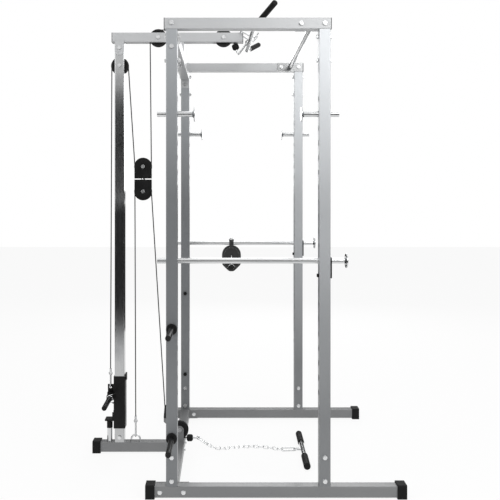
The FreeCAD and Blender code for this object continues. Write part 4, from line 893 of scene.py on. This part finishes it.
@dataclass
class HangingPad:
    """The small black pad on the far safety bar.

    Attributes:
        shop: The frame and finishes.
        puff: Half the thickness at the crown.
        loop: Radius of the webbing loop.
        knob: Radius of the knob on the pad's face.
    """

    shop: Workshop
    puff: float = 0.0112
    loop: float = 0.0205
    knob: float = 0.0145

    def outline(self, low: Vector, high: Vector) -> list[Vector]:
        """The pad's outline: a round top, straight sides and a blunt point.

        Args:
            low: The pad node's lowest corner.
            high: The pad node's highest corner.

        Returns:
            Places round the outline on the pad's middle plane.
        """
        half = (high.x - low.x) / 2.0 - 0.0015
        centre = Vector(((low.x + high.x) / 2.0, high.y - 0.022, low.z + 0.102))
        places = [centre + Vector((math.cos(turn), 0.0, math.sin(turn))) * half
                  for turn in [math.pi * k / 28 for k in range(29)]]
        lower = [(-half, -0.060), (-0.014, -0.1005), (0.014, -0.1005), (half, -0.060)]
        ends = [centre + Vector((x, 0.0, z)) for x, z in lower]
        for start, end, steps in ((places[-1], ends[0], 10), (ends[0], ends[1], 10), (ends[1], ends[2], 6),
                                  (ends[2], ends[3], 10), (ends[3], places[0], 10)):
            places += [start.lerp(end, k / steps) for k in range(1, steps + 1)]
        places = places[:-1]
        for _ in range(3):
            places = [(places[k - 1] + places[k] * 2.0 + places[(k + 1) % len(places)]) / 4.0
                      for k in range(len(places))]
        return places

    def cushion(self, edge: list[Vector]) -> None:
        """The padded body, crowned on both faces and drawn in along a sewn line."""
        count = len(edge)
        centre = sum(edge, Vector()) / count
        shares = [1.0, 0.985, 0.95, 0.9, 0.86, 0.83, 0.8, 0.72, 0.6, 0.45, 0.28, 0.12]
        points = [tuple(place) for place in edge]
        faces: list[tuple[int, ...]] = []
        for side in (-1.0, 1.0):
            before = list(range(count))
            for share in shares[1:]:
                rise = self.puff * math.sqrt(1.0 - share ** 4)
                rise -= 0.0022 * math.exp(-((share - 0.83) / 0.025) ** 2)
                ring = list(range(len(points), len(points) + count))
                for place in edge:
                    crease = 0.0005 * math.sin(place.x * 210.0 + place.z * 130.0) * (1.0 - share)
                    spot = centre.lerp(place, share)
                    points.append((spot.x, spot.y + side * (rise + crease), spot.z))
                for k in range(count):
                    after = (k + 1) % count
                    quad = (before[k], before[after], ring[after], ring[k])
                    faces.append(quad if side > 0 else tuple(reversed(quad)))
                before = ring
            points.append((centre.x, centre.y + side * self.puff, centre.z))
            for k in range(count):
                tip = (before[k], before[(k + 1) % count], len(points) - 1)
                faces.append(tip if side > 0 else tuple(reversed(tip)))
        made = self.shop.piece("pad_cushion", Role.PAD, points, faces)
        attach(made, "frame")
        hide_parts("hanging_pad")

    def fittings(self, low: Vector, high: Vector, edge: list[Vector]) -> None:
        """The piping, stitches, loop, steel ring, strap and knob."""
        centre = sum(edge, Vector()) / len(edge)
        piping = self.shop.tube("pad_piping", Role.RUBBER, edge + edge[:1], 0.0015, 8)
        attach(piping, "frame")
        for k in range(0, len(edge), 2):
            start, end = (centre.lerp(edge[j % len(edge)], 0.83) for j in (k, k + 1))
            depth = Vector((0.0, -self.puff * 0.55 - 0.001, 0.0))
            stitch = self.shop.tube(f"pad_stitch_{k:02d}", Role.CHROME, [start + depth, end + depth], 0.0004, 6)
            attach(stitch, "frame")
        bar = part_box("safety_bar_far")
        middle = Vector((centre.x, (bar[0].y + bar[1].y) / 2.0, (bar[0].z + bar[1].z) / 2.0))
        profile = [(0.0134, -0.013), (self.loop, -0.013), (self.loop + 0.001, 0.0), (self.loop, 0.013),
                   (0.0134, 0.013)]
        points, faces = lathe(profile, middle, Vector((1.0, 0.0, 0.0)), 40)
        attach(self.shop.piece("pad_loop", Role.PAD, points, faces), "frame")
        ring = [Vector((middle.x + 0.0125 * math.cos(a), middle.y, middle.z + 0.0165 + 0.0125 * math.sin(a)))
                for a in [2.0 * math.pi * k / 36 for k in range(37)]]
        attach(self.shop.tube("pad_ring", Role.ZINC, ring, 0.0028, 10), "frame")
        face = centre.y - self.puff
        foot = low.z + 0.024
        strap = [Vector((middle.x, face - 0.0012, foot + rise)) for rise in (0.012, 0.03, 0.05, 0.072)]
        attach(self.shop.tube("pad_strap", Role.ZINC, strap, 0.0024, 10), "frame")
        arc = [Vector((middle.x + 0.019 * math.cos(a), face - 0.0005, foot + 0.019 * math.sin(a)))
               for a in [math.radians(step) for step in range(15, 166, 6)]]
        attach(self.shop.tube("pad_wire", Role.ZINC, arc, 0.0018, 10), "frame")
        outer = self.knob
        profile = [(0.0, -0.004), (outer, -0.004), (outer, 0.006), (outer * 0.86, 0.0095), (0.004, 0.0105),
                   (0.0, 0.0105)]
        points, faces = lathe(profile, Vector((middle.x, face + 0.002, foot)), Vector((0.0, -1.0, 0.0)))
        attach(self.shop.piece("pad_knob", Role.PLASTIC, points, faces), "frame")

    def build(self) -> None:
        """Make the pad and its fittings."""
        if "hanging_pad" not in self.shop.frame["nodes"]:
            return
        low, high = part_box("hanging_pad")
        edge = self.outline(low, high)
        self.cushion(edge)
        self.fittings(low, high, edge)


# ---------------------------------------------------------------- stage
@dataclass
class Studio:
    """Floor, world, lamps and camera.

    Attributes:
        camera_place: Where the camera stands.
        lens: Its focal length in millimetres.
        shift: Its lens shift.
        floor_half: Half the floor's width.
    """

    camera_place: Point = (-0.065, -3.749, 1.3626)
    lens: float = 51.39
    shift: tuple[float, float] = (0.053, -0.1157)
    floor_half: float = 14.0
    lamps: tuple[tuple[str, Point, Point, float, float], ...] = (
        ("key", (2.4, -4.2, 3.4), (0.0, 0.0, 1.1), 120.0, 2.6),
        ("fill", (-3.4, -3.4, 2.4), (0.0, 0.0, 1.0), 60.0, 2.6),
        ("top", (0.2, 0.3, 4.9), (0.0, 0.0, 0.8), 24.0, 3.0),
        ("back", (0.6, 4.2, 2.6), (0.0, 0.0, 1.0), 60.0, 2.6),
    )
    cards: tuple[tuple[str, float, float, float], ...] = (
        ("low", 3.0, 0.06, 1.25), ("high", 6.0, 1.25, 2.75),
    )

    def floor(self) -> None:
        """A white floor that looks white to the camera and keeps the object's shadow."""
        half = self.floor_half
        mesh = bpy.data.meshes.new("studio_floor")
        mesh.from_pydata([(-half, -half, -0.0006), (half, -half, -0.0006), (half, half, -0.0006),
                          (-half, half, -0.0006)], [], [(0, 1, 2, 3)])
        made = bpy.data.objects.new("studio_floor", mesh)
        bpy.context.scene.collection.objects.link(made)
        paper = bpy.data.materials.new("studio_paper")
        paper.use_nodes = True
        tree = paper.node_tree
        shader = tree.nodes["Principled BSDF"]
        shader.inputs["Base Color"].default_value = grey(0.92)
        shader.inputs["Roughness"].default_value = 0.95
        shader.inputs["Specular IOR Level"].default_value = 0.0
        glow = tree.nodes.new("ShaderNodeEmission")
        glow.inputs["Color"].default_value = grey(1.0)
        mix = tree.nodes.new("ShaderNodeMixShader")
        factor = tree.nodes.new("ShaderNodeMath")
        factor.operation = "MULTIPLY"
        factor.inputs[1].default_value = 0.9
        tree.links.new(self.seen(tree), factor.inputs[0])
        tree.links.new(factor.outputs[0], mix.inputs[0])
        tree.links.new(shader.outputs["BSDF"], mix.inputs[1])
        tree.links.new(glow.outputs["Emission"], mix.inputs[2])
        tree.links.new(mix.outputs[0], tree.nodes["Material Output"].inputs["Surface"])
        mesh.materials.append(paper)

    def dark_cards(self) -> None:
        """Rings of dark card round the stage that only reflections show, as lines in bright metal."""
        card = bpy.data.materials.new("studio_card")
        card.use_nodes = True
        card.node_tree.nodes["Principled BSDF"].inputs["Base Color"].default_value = grey(0.03)
        card.node_tree.nodes["Principled BSDF"].inputs["Roughness"].default_value = 1.0
        steps = 48
        for name, radius, low, high in self.cards:
            turns = [2.0 * math.pi * k / steps for k in range(steps)]
            points = [(radius * math.cos(a), radius * math.sin(a), z) for z in (low, high) for a in turns]
            faces = [(k, (k + 1) % steps, steps + (k + 1) % steps, steps + k) for k in range(steps)]
            mesh = bpy.data.meshes.new(f"studio_card_{name}")
            mesh.from_pydata(points, [], faces)
            mesh.materials.append(card)
            made = bpy.data.objects.new(f"studio_card_{name}", mesh)
            for ray in ("camera", "diffuse", "transmission", "volume_scatter", "shadow"):
                setattr(made, f"visible_{ray}", False)
            bpy.context.scene.collection.objects.link(made)

    def seen(self, tree: bpy.types.NodeTree) -> bpy.types.NodeSocket:
        """A value of 1 for rays from the camera, from a reflection or through glass."""
        light = tree.nodes.new("ShaderNodeLightPath")
        first = tree.nodes.new("ShaderNodeMath")
        first.operation = "MAXIMUM"
        second = tree.nodes.new("ShaderNodeMath")
        second.operation = "MAXIMUM"
        tree.links.new(light.outputs["Is Camera Ray"], first.inputs[0])
        tree.links.new(light.outputs["Is Glossy Ray"], first.inputs[1])
        tree.links.new(first.outputs[0], second.inputs[0])
        tree.links.new(light.outputs["Is Transmission Ray"], second.inputs[1])
        return second.outputs[0]

    def world(self) -> None:
        """Soft even light from all round, and a white background."""
        world = bpy.data.worlds.new("studio_world")
        bpy.context.scene.world = world
        world.use_nodes = True
        tree = world.node_tree
        tree.nodes.clear()
        ambient = tree.nodes.new("ShaderNodeBackground")
        ambient.inputs["Color"].default_value = grey(1.0)
        ambient.inputs["Strength"].default_value = 0.5
        white = tree.nodes.new("ShaderNodeBackground")
        white.inputs["Color"].default_value = grey(1.0)
        white.inputs["Strength"].default_value = 1.0
        mix = tree.nodes.new("ShaderNodeMixShader")
        out = tree.nodes.new("ShaderNodeOutputWorld")
        tree.links.new(self.seen(tree), mix.inputs[0])
        tree.links.new(ambient.outputs[0], mix.inputs[1])
        tree.links.new(white.outputs[0], mix.inputs[2])
        tree.links.new(mix.outputs[0], out.inputs["Surface"])

    def lights(self) -> None:
        """Large soft area lamps."""
        for name, place, target, power, size in self.lamps:
            data = bpy.data.lights.new(name, "AREA")
            data.energy = power
            data.size = size
            made = bpy.data.objects.new(name, data)
            made.location = place
            aim = Vector(target) - Vector(place)
            made.rotation_euler = aim.to_track_quat("-Z", "Y").to_euler()
            bpy.context.scene.collection.objects.link(made)

    def camera(self) -> None:
        """The camera, level and looking along +Y."""
        data = bpy.data.cameras.new("studio_camera")
        data.lens = self.lens
        data.sensor_width = 36.0
        data.shift_x, data.shift_y = self.shift
        data.clip_end = 60.0
        made = bpy.data.objects.new("studio_camera", data)
        made.location = self.camera_place
        made.rotation_euler = (math.pi / 2.0, 0.0, 0.0)
        bpy.context.scene.collection.objects.link(made)
        bpy.context.scene.camera = made

    def build(self) -> None:
        """Make the whole stage."""
        bpy.context.scene.view_settings.view_transform = "Standard"
        self.floor()
        self.dark_cards()
        self.world()
        self.lights()
        self.camera()


def corners(box: object) -> list[list[float]]:
    """A box as plain lists of numbers."""
    return [[float(value) for value in corner] for corner in box]


def main() -> None:
    """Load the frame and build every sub-assembly in order."""
    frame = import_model()
    Studio().build()
    shop = Workshop(frame)
    shop.prepare()
    shop.dress_nodes()
    CableRuns(shop).build()
    SpringCollars(shop).build()
    CageTrim(shop).build()
    HangingPad(shop).build()


if __name__ == "__main__":
    main()
